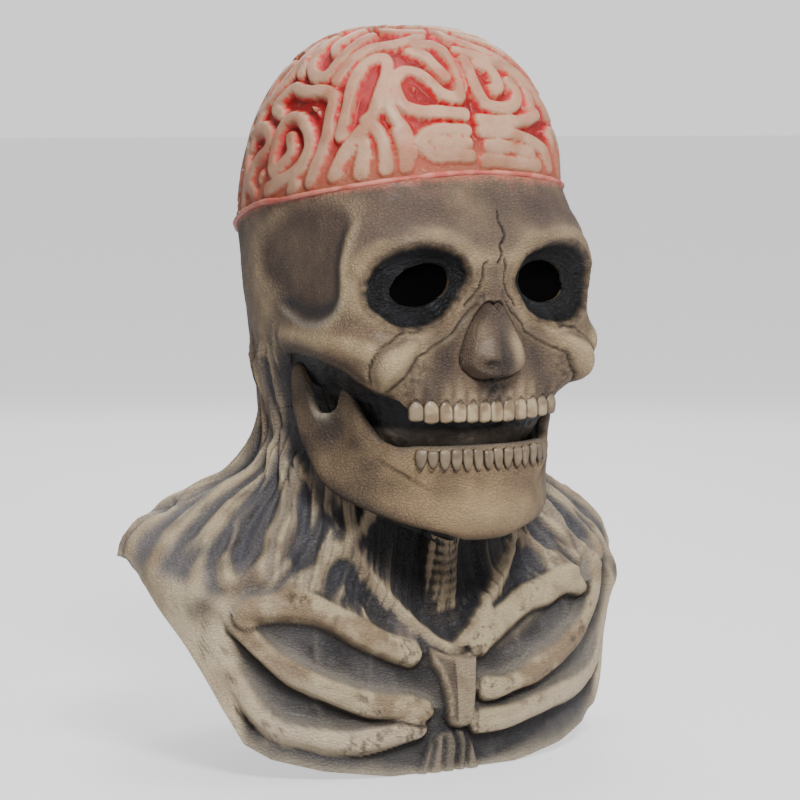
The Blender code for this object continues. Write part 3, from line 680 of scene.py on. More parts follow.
def plain_nodes(name, colour, second, scale, roughness, depth, cells=False, shine=0.5):
    """Foam, gauze or floor: two tones and a bump from one fine texture."""
    made = bpy.data.materials.new(name)
    made.use_nodes = True
    nodes, links = made.node_tree.nodes, made.node_tree.links
    shader = nodes["Principled BSDF"]
    place = nodes.new("ShaderNodeTexCoord").outputs["Object"]
    texture = nodes.new("ShaderNodeTexVoronoi" if cells else "ShaderNodeTexNoise")
    texture.inputs["Scale"].default_value = scale
    links.new(place, texture.inputs["Vector"])
    source = texture.outputs["Distance" if cells else "Fac"]
    ramp = nodes.new("ShaderNodeValToRGB")
    ramp.color_ramp.elements[0].color = (*colour, 1)
    ramp.color_ramp.elements[1].color = (*second, 1)
    links.new(source, ramp.inputs["Fac"])
    links.new(ramp.outputs["Color"], shader.inputs["Base Color"])
    bump = nodes.new("ShaderNodeBump")
    bump.inputs["Strength"].default_value = depth
    bump.inputs["Distance"].default_value = 0.0008
    links.new(source, bump.inputs["Height"])
    links.new(bump.outputs["Normal"], shader.inputs["Normal"])
    shader.inputs["Roughness"].default_value = roughness
    shader.inputs["Specular IOR Level"].default_value = shine
    return made


# ================================================================ the skull
def skull_skin():
    columns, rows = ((480, 180))
    angle = ring_angles(columns)
    foot = edge_at(SKULL_EDGE, angle)
    share = np.linspace(0, 1, rows)
    level = share[:, None] * foot[None, :]
    turn = np.broadcast_to(angle, level.shape)
    degrees = np.degrees(turn)
    away = np.abs(degrees)
    bare, lift = hood_base(level, turn)
    skin = Skin(bare)
    x, z = bare[..., 0], bare[..., 2]
    across = np.abs(x)
    soft, fine = cloud(bare, 26, 3), cloud(bare, 5, 3, 4.0)
    wander = cloud(bare, 3.2, 2, 9.0)

    def along(points, width, both=True):
        """1 on a line, fading over width mm."""
        reach = width * 3
        d = np.full(level.shape, reach)
        for line in (points, mirrored(points))[:1 + both]:
            line = course(line, bare_hood, fine=12)
            if width < 1:
                line = line + 0.9 * cloud(line, 4.0, 2, 6.0)[:, None] * np.array([0.8, 0, 0.8])
            d = np.minimum(d, skin.distance(line, reach))
        return hump(d, 0, width) * (d < reach)

    def area(outline, reach):
        return np.maximum(depth_inside(skin, outline, level, turn, reach),
                          depth_inside(skin, mirrored(outline), level, turn, reach))

    # relief
    h = lift + 1.9 * along(BROW_BONE, 5) + 3.4 * along(CHEEK_ARCH, 6)
    malar = area(MALAR, 12)
    h = h + 5.2 * step(-0.8, 8.0, malar)
    socket = area(SOCKET, 16) + 0.22 * fine
    h = h - 8.6 * (1 - np.exp(-np.clip(socket, 0, None) / 4.2)) + 1.3 * hump(socket, -1.5, 1.8)
    h = h + 0.5 * np.cos(socket * 1.9) * step(0.5, 2, socket) * (0.5 + 0.5 * fine)
    temple = area(TEMPLE, 18)
    front_rim = step(-74, -60, -away) * step(-58, -70, z)
    low_rim = step(-98, -110, z) * step(-92, -80, -away)
    h = h - 3.0 * step(-2.5, 9, temple) + hump(temple, -2, 2.2) * np.maximum(front_rim, 0.8 * low_rim)
    bridge = hump(x, 0, 8.5) * step(-86, -100, z) * (1 - step(-104, -118, z))
    h = h + 4.6 * bridge
    nose = area(NOSE, 12)
    tip = hump(across, 5, 9, z, -140, 9) + 0.45 * hump(x, 0, 8, z, -124, 13)
    h = h + step(-0.3, 3.2, nose) * (6.4 + 8.0 * tip) + 1.6 * hump(nose, -1.2, 2.2) * step(
        -154, -140, z)
    groove = hump(nose, -0.3, 0.65)
    h = h - 1.8 * groove
    nostril = hump(x, -7, 4.4, z, -140.5, 2.4) + 0.8 * hump(x, 10, 2.4, z, -146.5, 1.3)
    h = h - 4.4 * nostril
    cuts = ((along(MALAR_SUTURE, 0.7), 0.95), (along(CHEEK_SUTURE, 0.7), 0.9),
            (along(BRIDGE_SUTURE, 0.7), 0.8),
            (along(FOREHEAD_CRACK, 0.65, False), 0.9), (groove, 0.9), (nostril, 1.0))
    lips = np.zeros(level.shape)
    for line in (MALAR_SUTURE, CHEEK_SUTURE, BRIDGE_SUTURE):
        lips = np.maximum(lips, along(line, 2.6))
    h = h + 0.5 * lips
    for cut, _ in cuts[:4]:
        h = h - 1.5 * cut
    teeth = np.abs(np.sin((degrees + 30) / 60 * 12 * math.pi))
    roots = hump(level, 4.9, 0.28) * (1 - step(29, 33, away))
    h = h + roots * (1.2 * teeth - 0.5)
    grain_at = (along([(-28, 4.3), (-31, 4.75)], 6) + along([(0, 4.65), (4, 4.9)], 5, both=False)
                + 0.5 * along([(-14, 3.8), (-20, 4.2)], 5))
    h = h + 0.6 * grain_at * np.abs(cloud(bare, 1.8, 2, 3.0))
    rim = 1 - step(0, 0.05, share)[:, None]
    h = h + 0.35 * soft + 0.18 * fine + 0.6 * rim

    # paint: shadow wash in the hollows, dry-brushed bone above
    worn = step(-0.9, 1.0, h - blur(h, 9))
    wash = step(-0.25, 0.75, soft + 0.35 * cloud(bare, 9, 2, 21.0))
    colour = mix(BONE_SHADE, mix(BONE, BONE_MID, 0.8 * wash), 0.2 + 0.8 * worn)
    forehead = step(-87, -72, z) * (1 - step(60, 95, away))
    colour = mix(colour, srgb(118, 101, 89), forehead * np.clip(0.66 + 0.5 * cloud(bare, 22, 2, 5.5), 0.15,
                                                                0.95))
    patches = sum(k * hump(x, a, w, z, b, v) for k, a, b, w, v in (
        (1.0, 3, -50, 13, 9), (0.9, 34, -56, 14, 9), (0.4, -40, -58, 15, 8), (0.9, 8, -72, 9, 12),
        (0.5, 62, -62, 10, 16)))
    colour = coats(
        colour,
        ((64, 55, 55), np.clip(0.74 * patches * (0.9 + 0.4 * soft), 0, 0.85)),
        ((196, 172, 138), 0.45 * along(BROW_BONE, 2.6) * (0.8 + 0.5 * wander)),
        ((112, 97, 86), step(62, 100, away) * np.clip(0.6 + 0.5 * soft, 0.1, 0.9)))
    hollow = step(-2, 9, temple)
    colour = mix(colour, srgb(104, 88, 78), hollow * np.clip(0.8 + 0.3 * soft, 0.4, 0.95))
    # painted shade: darker just inside the temple hollow under its raised front and lower rims, and a darker
    # patch on the side of the head behind it
    dark_front = hump(temple, 2.6, 3.4) * step(-64, -56, -away) * step(-58, -72, z)
    dark_low = hump(temple, 4.5, 5.5) * step(-98, -111, z) * step(-96, -84, -away)
    dark_back = hump(bare[..., 1], 4, 10, z, -97, 15) * (across > 60)
    temple_shade = np.maximum.reduce([0.85 * dark_front, 0.95 * dark_low, 0.7 * dark_back * (0.8 + 0.6 * soft)])
    colour = coats(
        colour,
        ((50, 47, 50), np.clip(temple_shade, 0, 0.9)),
        ((204, 184, 152), 0.6 * hump(temple, -3.5, 2.8) * front_rim),
        ((160, 156, 150), 0.55 * hump(temple, -1.4, 1.5) * low_rim))
    under_eye = hump(across, 29, 8, z, -138, 14) + 0.9 * hump(across, 37, 8, z, -156, 12)
    colour = coats(
        colour,
        ((84, 72, 66), np.clip(0.85 * under_eye, 0, 0.85)),
        ((108, 93, 82), 0.8 * hump(x, 0, 10) * step(-84, -92, z)),
        ((222, 200, 164), 0.7 * step(2, 7, malar)),
        # painted shade along the lower edge of the cheekbone
        ((70, 57, 48), 0.7 * along(CHEEK_SUTURE[:5], 2.2)),
        ((104, 92, 84), 0.75 * hump(malar, 2.2, 1.7) * along(MALAR_SUTURE, 6)))
    beside_nose = hump(nose, -4.5, 4.5) * step(-158, -112, z) * (across > 5)
    colour = mix(colour, srgb(84, 72, 66), 0.6 * beside_nose)
    # the nose plug: painted highlight on its right lobe and faintly on its left, painted shade over the rest
    # and darkest down its middle
    plug = step(-0.2, 1.5, nose)
    lit = np.clip(hump(x, 11, 6, z, -134, 10) + 0.3 * hump(x, -9, 5, z, -128, 9), 0, 1)
    colour = mix(colour, mix(srgb(98, 83, 73), srgb(224, 200, 166), lit), 0.9 * plug)
    colour = mix(colour, srgb(58, 52, 52), 0.75 * plug * hump(x, 1, 4.5, z, -136, 10))
    under_nose = hump(x, 3, 8, z, -156, 6)
    grit = step(-0.2, 0.5, cloud(bare, 2.0, 2, 2.0))
    colour = coats(
        colour,
        ((52, 47, 46), np.clip(under_nose * (0.35 + 0.65 * grit), 0, 0.85)),
        ((62, 55, 52), 0.6 * np.clip(grain_at, 0, 1) * grit),
        # painted shadow under the cheek arch
        ((84, 68, 58), 0.8 * along(ARCH_SHADOW_LINE, 3.2)),
        ((206, 186, 154), 0.35 * lips * (0.6 + 0.4 * wander)))
    for cut, strength in cuts:
        colour = coats(colour, (INK, np.clip(strength * cut * (0.85 + 0.3 * wander), 0, 1)))
    row = 1 - step(29, 32, away)
    gum_line = hump(level - 4.98 - 0.28 * (1 - teeth), 0, 0.035) * row
    colour = coats(
        colour,
        (INK, 0.85 * gum_line),
        (INK, 0.8 * (1 - step(0.06, 0.35, teeth)) * step(5.1, 5.2, level) * row),
        ((72, 60, 52), 0.9 * hump(socket, -0.8, 2.2) * (0.8 + 0.3 * wander)))
    eye = mix(srgb(30, 30, 34), srgb(4, 4, 5), step(-0.6, 0.2, cloud(bare, 6, 2, 50.0)))
    colour = mix(colour, eye, step(-0.7, 1.3, socket + 0.3 * wander))
    low_edge = hump((foot[None, :] - level) * 22, 0, 2.4) * step(33, 36, away) * (1 - step(86, 92, away))
    colour = mix(colour, srgb(48, 38, 32), 0.85 * low_edge)
    run = np.clip(rim * (0.85 + 0.5 * wander) + 0.3 * np.exp(-share[:, None] / 0.05) * (fine > 0.1), 0, 1)
    colour = mix(0.86 * colour, srgb(206, 140, 124), run)
    # behind the jaw the tendons of the neck run up to the temple
    neck, neck_colour = neck_relief(skin, level, turn)
    share = step(2.7, 5.0, level + 0.5 * soft + 0.2 * wander) * step(82, 92, away)
    skin.height = h + (lift + neck + 0.3 * soft + 0.15 * fine - h) * share
    skin.colour = np.clip(mix(colour, neck_colour, share), 0, 1)
    return skin


def hole_cutter(outline):
    """A straight plug through the face, as wide as an outline on it."""
    ring = course(closed(outline), bare_hood, fine=1)
    points = np.concatenate([ring + np.array([0, -30, 0]), ring + np.array([0, 45, 0])])
    n = len(ring)
    side = [(j, (j + 1) % n, n + (j + 1) % n, n + j) for j in range(n)]
    mesh = bpy.data.meshes.new("hole")
    mesh.from_pydata((points * MM).tolist(), [], side + [tuple(range(n))[::-1], tuple(range(n, 2 * n))])
    shape = bmesh.new()
    shape.from_mesh(mesh)
    bmesh.ops.recalc_face_normals(shape, faces=shape.faces)
    shape.to_mesh(mesh)
    shape.free()
    return link(bpy.data.objects.new("hole", mesh))


def cut_holes(item):
    """Cut both eye holes through the skin and repaint the points from the nearest old ones."""
    cutters = [hole_cutter(outline) for outline in (EYE_HOLE, mirrored(EYE_HOLE))]
    for cutter in cutters:
        cut = item.modifiers.new("hole", "BOOLEAN")
        cut.operation = "DIFFERENCE"
        cut.object = cutter
        cut.solver = "MANIFOLD"
    result = applied(item)
    old = item.data
    tree = kdtree.KDTree(len(old.vertices))
    for i, vertex in enumerate(old.vertices):
        tree.insert(vertex.co, i)
    tree.balance()
    source = np.zeros(len(old.vertices) * 4)
    old.color_attributes["paint"].data.foreach_get("color", source)
    source = source.reshape(-1, 4)[:, :3]
    nearest = [tree.find(vertex.co)[1] for vertex in result.vertices]
    for layer in list(result.color_attributes):
        result.color_attributes.remove(layer)
    paint_on(result, source[nearest])
    result.polygons.foreach_set("use_smooth", np.ones(len(result.polygons), bool))
    item.data = result
    for cutter in cutters:
        bpy.data.objects.remove(cutter, do_unlink=True)


# ================================================================ the neck and bib
def neck_relief(skin, level, turn):
    """Height and paint of the bare tendons of the neck and shoulders."""
    bare, degrees = skin.bare, np.degrees(turn)
    away = np.abs(degrees)
    soft = cloud(bare, 24, 3)

    def gap(points, reach, both=True):
        d = skin.distance(course(points, bare_hood), reach)
        if both:
            d = np.minimum(d, skin.distance(course(mirrored(points), bare_hood), reach))
        return d

    # the flesh falls down and forwards over the shoulder, and its fine threads follow that fall
    slant = 6.0 * np.clip(level - 6.2, 0, 4.5) * (1 - 0.5 * step(115, 150, away)) * step(20, 60, away)
    fall = 1.15 * (degrees + np.sign(degrees) * slant)
    fan = np.stack([fall, level * 1.2, np.zeros(level.shape)], -1)
    thread = cloud(np.stack([fall, level * 0.6, np.zeros(level.shape)], -1), 2.6, 2, 8.0)
    drift = fall + 4 * cloud(bare, 45, 2, 31.0)
    crease = hump(np.sin(drift * math.pi / 6.5), 0, 0.22) * step(-0.2, 0.4, cloud(bare, 18, 2, 3.0))
    calm = 1 - step(10.6, 11.8, level + 1.4 * hump(degrees, 0, 50))
    reed = np.cos((drift + 1.5 * thread) * math.tau / 9.0) * step(52, 70, away) * (1 - 0.5
                                                                                   * step(112, 140, away))
    hair = cloud(np.stack([1.7 * fall, level * 0.9, np.zeros(level.shape)], -1), 2.2, 2, 51.0)
    h = calm * (0.8 * cloud(fan, 5.0, 2, 2.0) + 0.7 * thread + 0.5 * hair + 1.1 * reed - 0.8 * crease)
    deep = np.zeros(level.shape)
    for width, depth, points in HOLLOWS:
        near = hump(gap(points, width * 2.6), 0, width)
        h = h + depth * near
        deep = np.maximum(deep, near)
    strand = np.zeros(level.shape)
    for width, height, points in STRANDS:
        d = gap(points, width * 2.6)
        raised = height * (1 - 0.4 * step(112, 140, away))
        strand = np.maximum(strand, raised * (0.55 * hump(d, 0, 0.62 * width)
                                              + 0.45 * hump(d, 0, 1.2 * width)))
    h = h + strand
    d = gap(WINDPIPE, 20, both=False)
    rings = 0.5 + 0.5 * np.cos(bare[..., 2] * math.tau / 5.8 - 0.012 * (bare[..., 0] + 6)**2)
    pipe = np.clip(1 - (d / 12)**2, 0, 1)**0.8 * (1 - step(9.0, 9.9, level))
    h = h + pipe * (7.0 + 1.2 * rings)
    high = h - blur(h, 8)
    worn = step(-1.0, 1.7, high + 0.45 * (h - blur(h, 20)) + 0.4 * thread)
    dark = mix(srgb(66, 64, 66), srgb(128, 121, 117), step(-0.5, 0.7, soft + 0.5 * thread))
    outward = step(46, 92, away) * step(8.2, 10.0, level)
    dark = mix(dark, srgb(134, 130, 130), 0.6 * outward)
    light = mix(srgb(214, 196, 166), srgb(172, 153, 130), step(-0.3, 0.8, cloud(bare, 12, 2, 12.0)))
    rear = step(108, 150, away)
    dark = mix(dark, srgb(112, 100, 92), 0.7 * rear)
    light = mix(light, srgb(162, 144, 122), 0.6 * rear)
    colour = mix(dark, light, blur(worn, 1))
    side = step(34, 50, away)
    colour = mix(colour, mix(srgb(36, 36, 39), srgb(86, 86, 92), side),
                 0.85 * deep * (1 - step(0.2, 0.75, worn)) * (1 - 0.35 * outward))
    colour = coats(
        colour,
        ((112, 107, 106), 0.55 * step(0.0, 0.5, hair) * side * calm),
        ((58, 54, 54), 0.6 * crease * calm * (1 - 0.5 * rear)))
    # painted shade in the deep hollow of the throat under the chin, less over the raised tendons
    throat = (1 - step(8.3, 9.9, level)) * (1 - step(44, 66, away))
    colour = mix(colour, srgb(30, 28, 28), np.clip(0.95 * throat * (1 - 0.6 * step(0.4, 1, worn)), 0, 0.95))
    lit = step(-14, 8, bare[..., 0] + 4) * pipe
    colour = mix(colour, mix(srgb(38, 33, 31), srgb(136, 118, 96), rings), 0.8 * lit * step(8.0, 8.5, level))
    return h, colour


def chest_relief(skin, level, turn, h, colour):
    """Adds the collar bones, ribs, breastbone and flank to the neck's height and paint."""
    bare, degrees = skin.bare, np.degrees(turn)
    soft, fine = cloud(bare, 24, 3), cloud(bare, 5, 3, 4.0)
    away = np.abs(degrees)
    rib, shade, cut, ends, lit_above_rib = (np.zeros(level.shape) for _ in range(5))
    for width, height, points in RIBS:
        width *= RIB_SPREAD
        d, above = skin.distance(course(points, bare_hood), width + 18, rise=True)
        wide = width + 1.6 * noise(bare, 18, 1.0)
        slope = np.where(above < 0, 3.0, 7.5)
        rib = np.maximum(rib, height * step(0, 1, (wide - d + np.where(above < 0, 0, 1.5)) / slope) * (
            0.74 + 0.26 * np.clip(1 - (d / wide)**2, 0, 1)) + 0.9 * hump(above, -2.5, 1.9, d, 0, 6))
        # painted shade below each rib: a soft shadow fading down from its lower edge and a crisp shadow line
        # right under that edge; painted light in the gap just above each rib
        below = (above < 0) * (d < width + 17.9)
        shade = np.maximum(shade, below * np.exp(-np.clip(d - wide, 0, None) / 6.5) * (d > wide - 2))
        cut = np.maximum(cut, below * hump(d - wide, -0.4, 1.2))
        lit_above_rib = np.maximum(lit_above_rib, (above > 0) * np.exp(-np.clip(d - wide, 0, None) / 4.0))
        near_end = points[-1 if points[0][0] < 0 else 0]
        tip = bare_hood(np.array(near_end[1]), np.radians(near_end[0]))
        ends = np.maximum(ends, hump(np.linalg.norm(bare - tip, axis=-1), 0, 26))
    bone = depth_inside(skin, BREASTBONE, level, turn, 12)
    belly = depth_inside(skin, BELLY, level, turn, 12)
    plate = 4.4 * step(-0.5, 3.5, bone) - 1.4 * step(2.5, 6, bone) * (bare[..., 0] < -3)
    lower = 1.8 * step(-0.5, 4.0, belly)
    for deep, points in BELLY_FOLDS:
        fold = hump(skin.distance(course(points, bare_hood), 6), 0, 1.3)
        lower = lower - 0.7 * deep * fold * step(0, 1.5, belly)
    band = step(61, 68, away) * step(11.5, 12.1, level + 0.012 * (68 - away))
    outer = band * (1 - 0.75 * step(74, 96, away))
    rib = np.maximum.reduce([rib, plate, lower, 4.6 * outer])
    between = step(10.75, 11.05, level) * (1 - step(13.3, 13.5, level)) * (1 - step(62, 66, away))
    bare_gap = between * (1 - step(0.4, 2.6, rib))
    strut = np.zeros(level.shape)
    for points in RIB_STRUTS:
        strut = np.maximum(strut, hump(skin.distance(course(points, bare_hood), 8), 0, 2.0))
    h = h * (1 - between) + rib - 2.6 * bare_gap + 1.8 * strut * bare_gap
    pitted = step(0.0, 0.5, cloud(bare, 10, 2, 40.0) + 0.8 * ends - 0.25) * step(1.5, 4.0, rib)
    h = h - 0.5 * pitted * np.abs(cloud(bare, 2.6, 2, 6.0))
    bone_mask = step(0.8, 3.4, rib)
    tone = mix(srgb(218, 200, 168), srgb(170, 148, 122), step(-0.2, 0.7, soft + 0.4 * fine))
    tone = mix(tone, srgb(244, 226, 198), 0.8 * step(12.2, 12.9, level))
    colour = mix(colour, tone, 0.94 * bone_mask * (1 - 0.3 * outer))
    colour = mix(colour, mix(srgb(250, 232, 200), srgb(224, 204, 174), step(0.0, 0.9, soft)), 0.97 * outer)
    stipple = pitted * step(0.02, 0.4, cloud(bare, 2.4, 2, 9.0))
    colour = mix(colour, srgb(88, 77, 68), 0.66 * stipple)
    grey = mix(srgb(58, 57, 60), srgb(104, 101, 101), step(-0.5, 0.6, soft + 0.4 * fine))
    # painted light in each gap just above the rib below it
    grey = mix(grey, srgb(160, 152, 140), 0.8 * lit_above_rib)
    colour = mix(colour, grey, 0.94 * bare_gap)
    # the struts' paint, then painted shade and a crisp painted shadow line under each rib
    colour = coats(
        colour,
        ((150, 142, 134), 0.45 * strut * bare_gap),
        ((36, 35, 36), 0.9 * shade * (1 - bone_mask) * (away < 70)),
        ((44, 34, 28), 0.9 * cut * (away < 66)))
    flap = step(13.2, 13.45, level) * (1 - bone_mask) * (1 - step(58, 66, away))
    sheen = step(0.1, 0.9, soft) * 0.5 + 0.7 * hump(degrees, 22, 16)
    colour = mix(colour, mix(srgb(98, 96, 97), srgb(190, 178, 158), np.clip(sheen, 0, 1)), 0.85 * flap)
    outline = hump(bone, 0.1, 1.0) + 0.8 * hump(belly, 0.2, 0.9) * (level > 12.6)
    colour = coats(
        colour,
        ((44, 36, 30), np.clip(0.5 * outline, 0, 0.9)),
        ((138, 122, 106), 0.5 * step(0, 2, bone)),
        ((88, 79, 73), 0.75 * step(2.5, 6, bone) * (bare[..., 0] < -3)))
    spot = np.minimum(*(skin.distance(course([(side * 70, 12.0)], bare_hood), 20) for side in (-1, 1)))
    return h, mix(colour, srgb(78, 72, 70), 0.85 * hump(spot, 0, 8))


def neck_skin():
    columns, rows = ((560, 150))
    angle = ring_angles(columns)
    top, foot = edge_at(NECK_EDGE, angle), hem_level(angle)
    share = np.linspace(0, 1, rows)[:, None]
    level = top + (foot - top) * share
    turn = np.broadcast_to(angle, level.shape)
    bare, lift = hood_base(level, turn)
    skin = Skin(bare)
    h, colour = neck_relief(skin, level, turn)
    h, colour = chest_relief(skin, level, turn, h, colour)
    hem = hump((1 - share) * 120, 0, 1.6)
    # drawn in where the jaw's rear corners come down as the mouth opens
    corner = hump(np.abs(bare[..., 0]), 60, 14, bare[..., 1], -17, 17, bare[..., 2], -208, 26)
    skin.height = (blur(h, 1) + lift + 0.3 * cloud(bare, 24, 3) + 0.15 * cloud(bare, 5, 3, 4.0)
                   + 0.3 * hem - 4.0 * corner)
    skin.colour = np.clip(mix(colour, srgb(220, 206, 182), 0.6 * hem), 0, 1)
    return skin


# ================================================================ the brain
def all_folds():
    """Every drawn fold and its half width: in front, mirrored to the other side, and behind."""
    folds = [(p, FOLD) for p in RIGHT_FOLDS + LEFT_FOLDS]
    folds += [(mirrored(p), FOLD) for p in RIGHT_FOLDS if max(a for a, _ in p) < -52]
    folds += [([(a + 180, b) for a, b in RIGHT_FOLDS[i]], FOLD + 0.5) for i in BACK_FOLDS]
    folds += [([(191 - a, 0.9 * b + 5) for a, b in RIGHT_FOLDS[i]], FOLD + 0.5) for i in BACK_FOLDS_TURNED]
    return folds


def brain_skin():
    columns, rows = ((480, 150))
    angle = ring_angles(columns)
    rise = 1 - np.linspace(0.0004, 1, rows)
    rise[-1] = 0.0
    level, turn = np.meshgrid(rise, angle, indexing="ij")
    skin = Skin(bare_dome(level, turn))
    bare = skin.bare

    def dome_line(points):
        return course(points, bare_dome, scale=0.01, fine=6)

    profile = np.zeros(level.shape)
    nearest = np.full(level.shape, 14.0)
    ragged = 0.4 * cloud(bare, 2.2, 2, 7.0)
    for points, width in all_folds():
        d = skin.distance(dome_line(points), 14)
        nearest = np.minimum(nearest, d)
        wide = width * (1 + 0.12 * noise(bare, 9, 3.3))
        crown = 0.8 + 0.2 * np.clip(1 - (d / wide)**2, 0, 1)
        profile = np.maximum(profile, step(0, 1, (wide - d) / 3.0) * crown)
    # where no fold is drawn, the crown and the back, folds wander by themselves, alike on both sides
    even = np.stack([np.abs(bare[..., 0]), bare[..., 1], bare[..., 2]], -1)
    wander = 0.5 * even[..., 0] + 0.85 * even[..., 1] + 0.3 * even[..., 2] + 11 * cloud(even, 30, 2, 5.0)
    stripe = np.abs(np.sin(wander * math.pi / 12.0))
    island = step(FOLD + 2.8, FOLD + 4.6, nearest)
    profile = np.maximum(profile, island * step(0.22, 0.6, stripe))
    low = 1 - step(0.05, 0.24, level)
    base = -4.0 * (1 - 0.6 * low)
    cleft = hump(bare[..., 0], 0, 1.4) * step(0.1, 0.25, level)
    h = base + (0.2 - base) * profile - 2.4 * cleft + 0.25 * cloud(bare, 14, 2) + 0.1 * cloud(bare, 4, 3,
                                                                                              4.0)
    tuck = 1 - step(0, 0.03, level)
    skin.height = h * (1 - tuck) - tuck
    crest = step(0.30, 0.72, profile - 0.5 * cleft + ragged)
    tan = mix(srgb(226, 184, 154), srgb(200, 150, 124), step(-0.4, 0.6, cloud(bare, 16, 3, 2.0)))
    red = mix(srgb(208, 40, 60), srgb(150, 8, 26), step(0.35, 0.0, profile))
    red = coats(
        red,
        ((222, 110, 108), 0.3 * step(-0.2, 0.8, cloud(bare, 12, 2, 60.0))),
        ((190, 124, 104), 0.7 * low))
    colour = mix(red, tan, crest)
    blush = step(-0.1, 0.7, cloud(bare, 18, 2, 33.0)) * 0.3
    colour = mix(colour, srgb(224, 124, 118), blush * (1 - 0.4 * crest))
    smear = step(0.15, 0.5, cloud(bare, 2.4, 2, 17.0)) * hump(profile, 0.6, 0.25)
    colour = mix(colour, srgb(216, 84, 92), 0.55 * smear)
    skin.colour = np.clip(mix(colour, srgb(160, 124, 98), 0.5 * np.exp(-level / 0.06)), 0, 1)
    return skin


def bead_mesh():
    """The soft pink lip of latex round the skull cut."""
    count, sides = 420, 14
    angle = ring_angles(count)
    centre = bare_hood(np.full(count, 0.01), angle)
    outward = centre - np.stack([np.zeros(count), np.full(count, 20.0), centre[:, 2]], -1)
    outward /= np.linalg.norm(outward, axis=1, keepdims=True)
    wide = 1.7 + 0.45 * cloud(centre, 10, 2) + 0.2 * cloud(centre, 3, 2)
    rows = []
    for k in range(sides):
        turn = k * math.tau / sides
        offset = outward * (wide * math.cos(turn) + 0.5)[:, None]
        offset[:, 2] += wide * 0.9 * math.sin(turn)
        rows.append(centre + offset)
    grid = np.array(rows)
    points = grid.transpose(1, 0, 2).reshape(-1, 3)
    i, j = np.meshgrid(np.arange(count), np.arange(sides), indexing="ij")
    k, m = (i + 1) % count, (j + 1) % sides
    faces = np.stack([i * sides + j, k * sides + j, k * sides + m, i * sides + m], -1).reshape(-1, 4)
    tone = mix(srgb(228, 156, 142), srgb(204, 116, 108), step(-0.4, 0.6, cloud(points, 8, 3, 5.0)))
    return mesh_of("brain_lip", points, faces, tone)


# ================================================================ the jaw and the teeth
def jaw_face(distance, out=0.0):
    plan = np.array(JAW_PLAN, float)
    length = np.r_[0, np.cumsum(np.linalg.norm(np.diff(plan, axis=0), axis=1))]
    away = np.abs(distance)
    x, y = smooth(length, plan[:, 0], away), smooth(length, plan[:, 1], away)
    dx = smooth(length, plan[:, 0], away + 0.5) - smooth(length, plan[:, 0], away - 0.5)
    dy = smooth(length, plan[:, 1], away + 0.5) - smooth(length, plan[:, 1], away - 0.5)
    size = np.hypot(dx, dy)
    x, y = x + out * dy / size, y - out * dx / size
    return x * np.where(distance < 0, -1, 1), y


def jaw_edges(distance):
    table = np.array(JAW_OUTLINE, float).T
    away = np.abs(distance)
    return smooth(table[0], table[1], away), smooth(table[0], table[2], away)


def jaw_points(distance, share, out=0.0):
    upper, lower = jaw_edges(distance)
    z = upper + (lower - upper) * share
    chin = 4.0 * hump(distance, 0, 22, z, -222, 12)
    tuck = -7.0 * np.clip((z + 214) / -22, 0, 1)**2 - 1.5 * hump(z, -204, 8)
    x, y = jaw_face(distance, out + chin + tuck * np.exp(-(distance / 75)**4))
    return np.stack([x, y, z], -1)


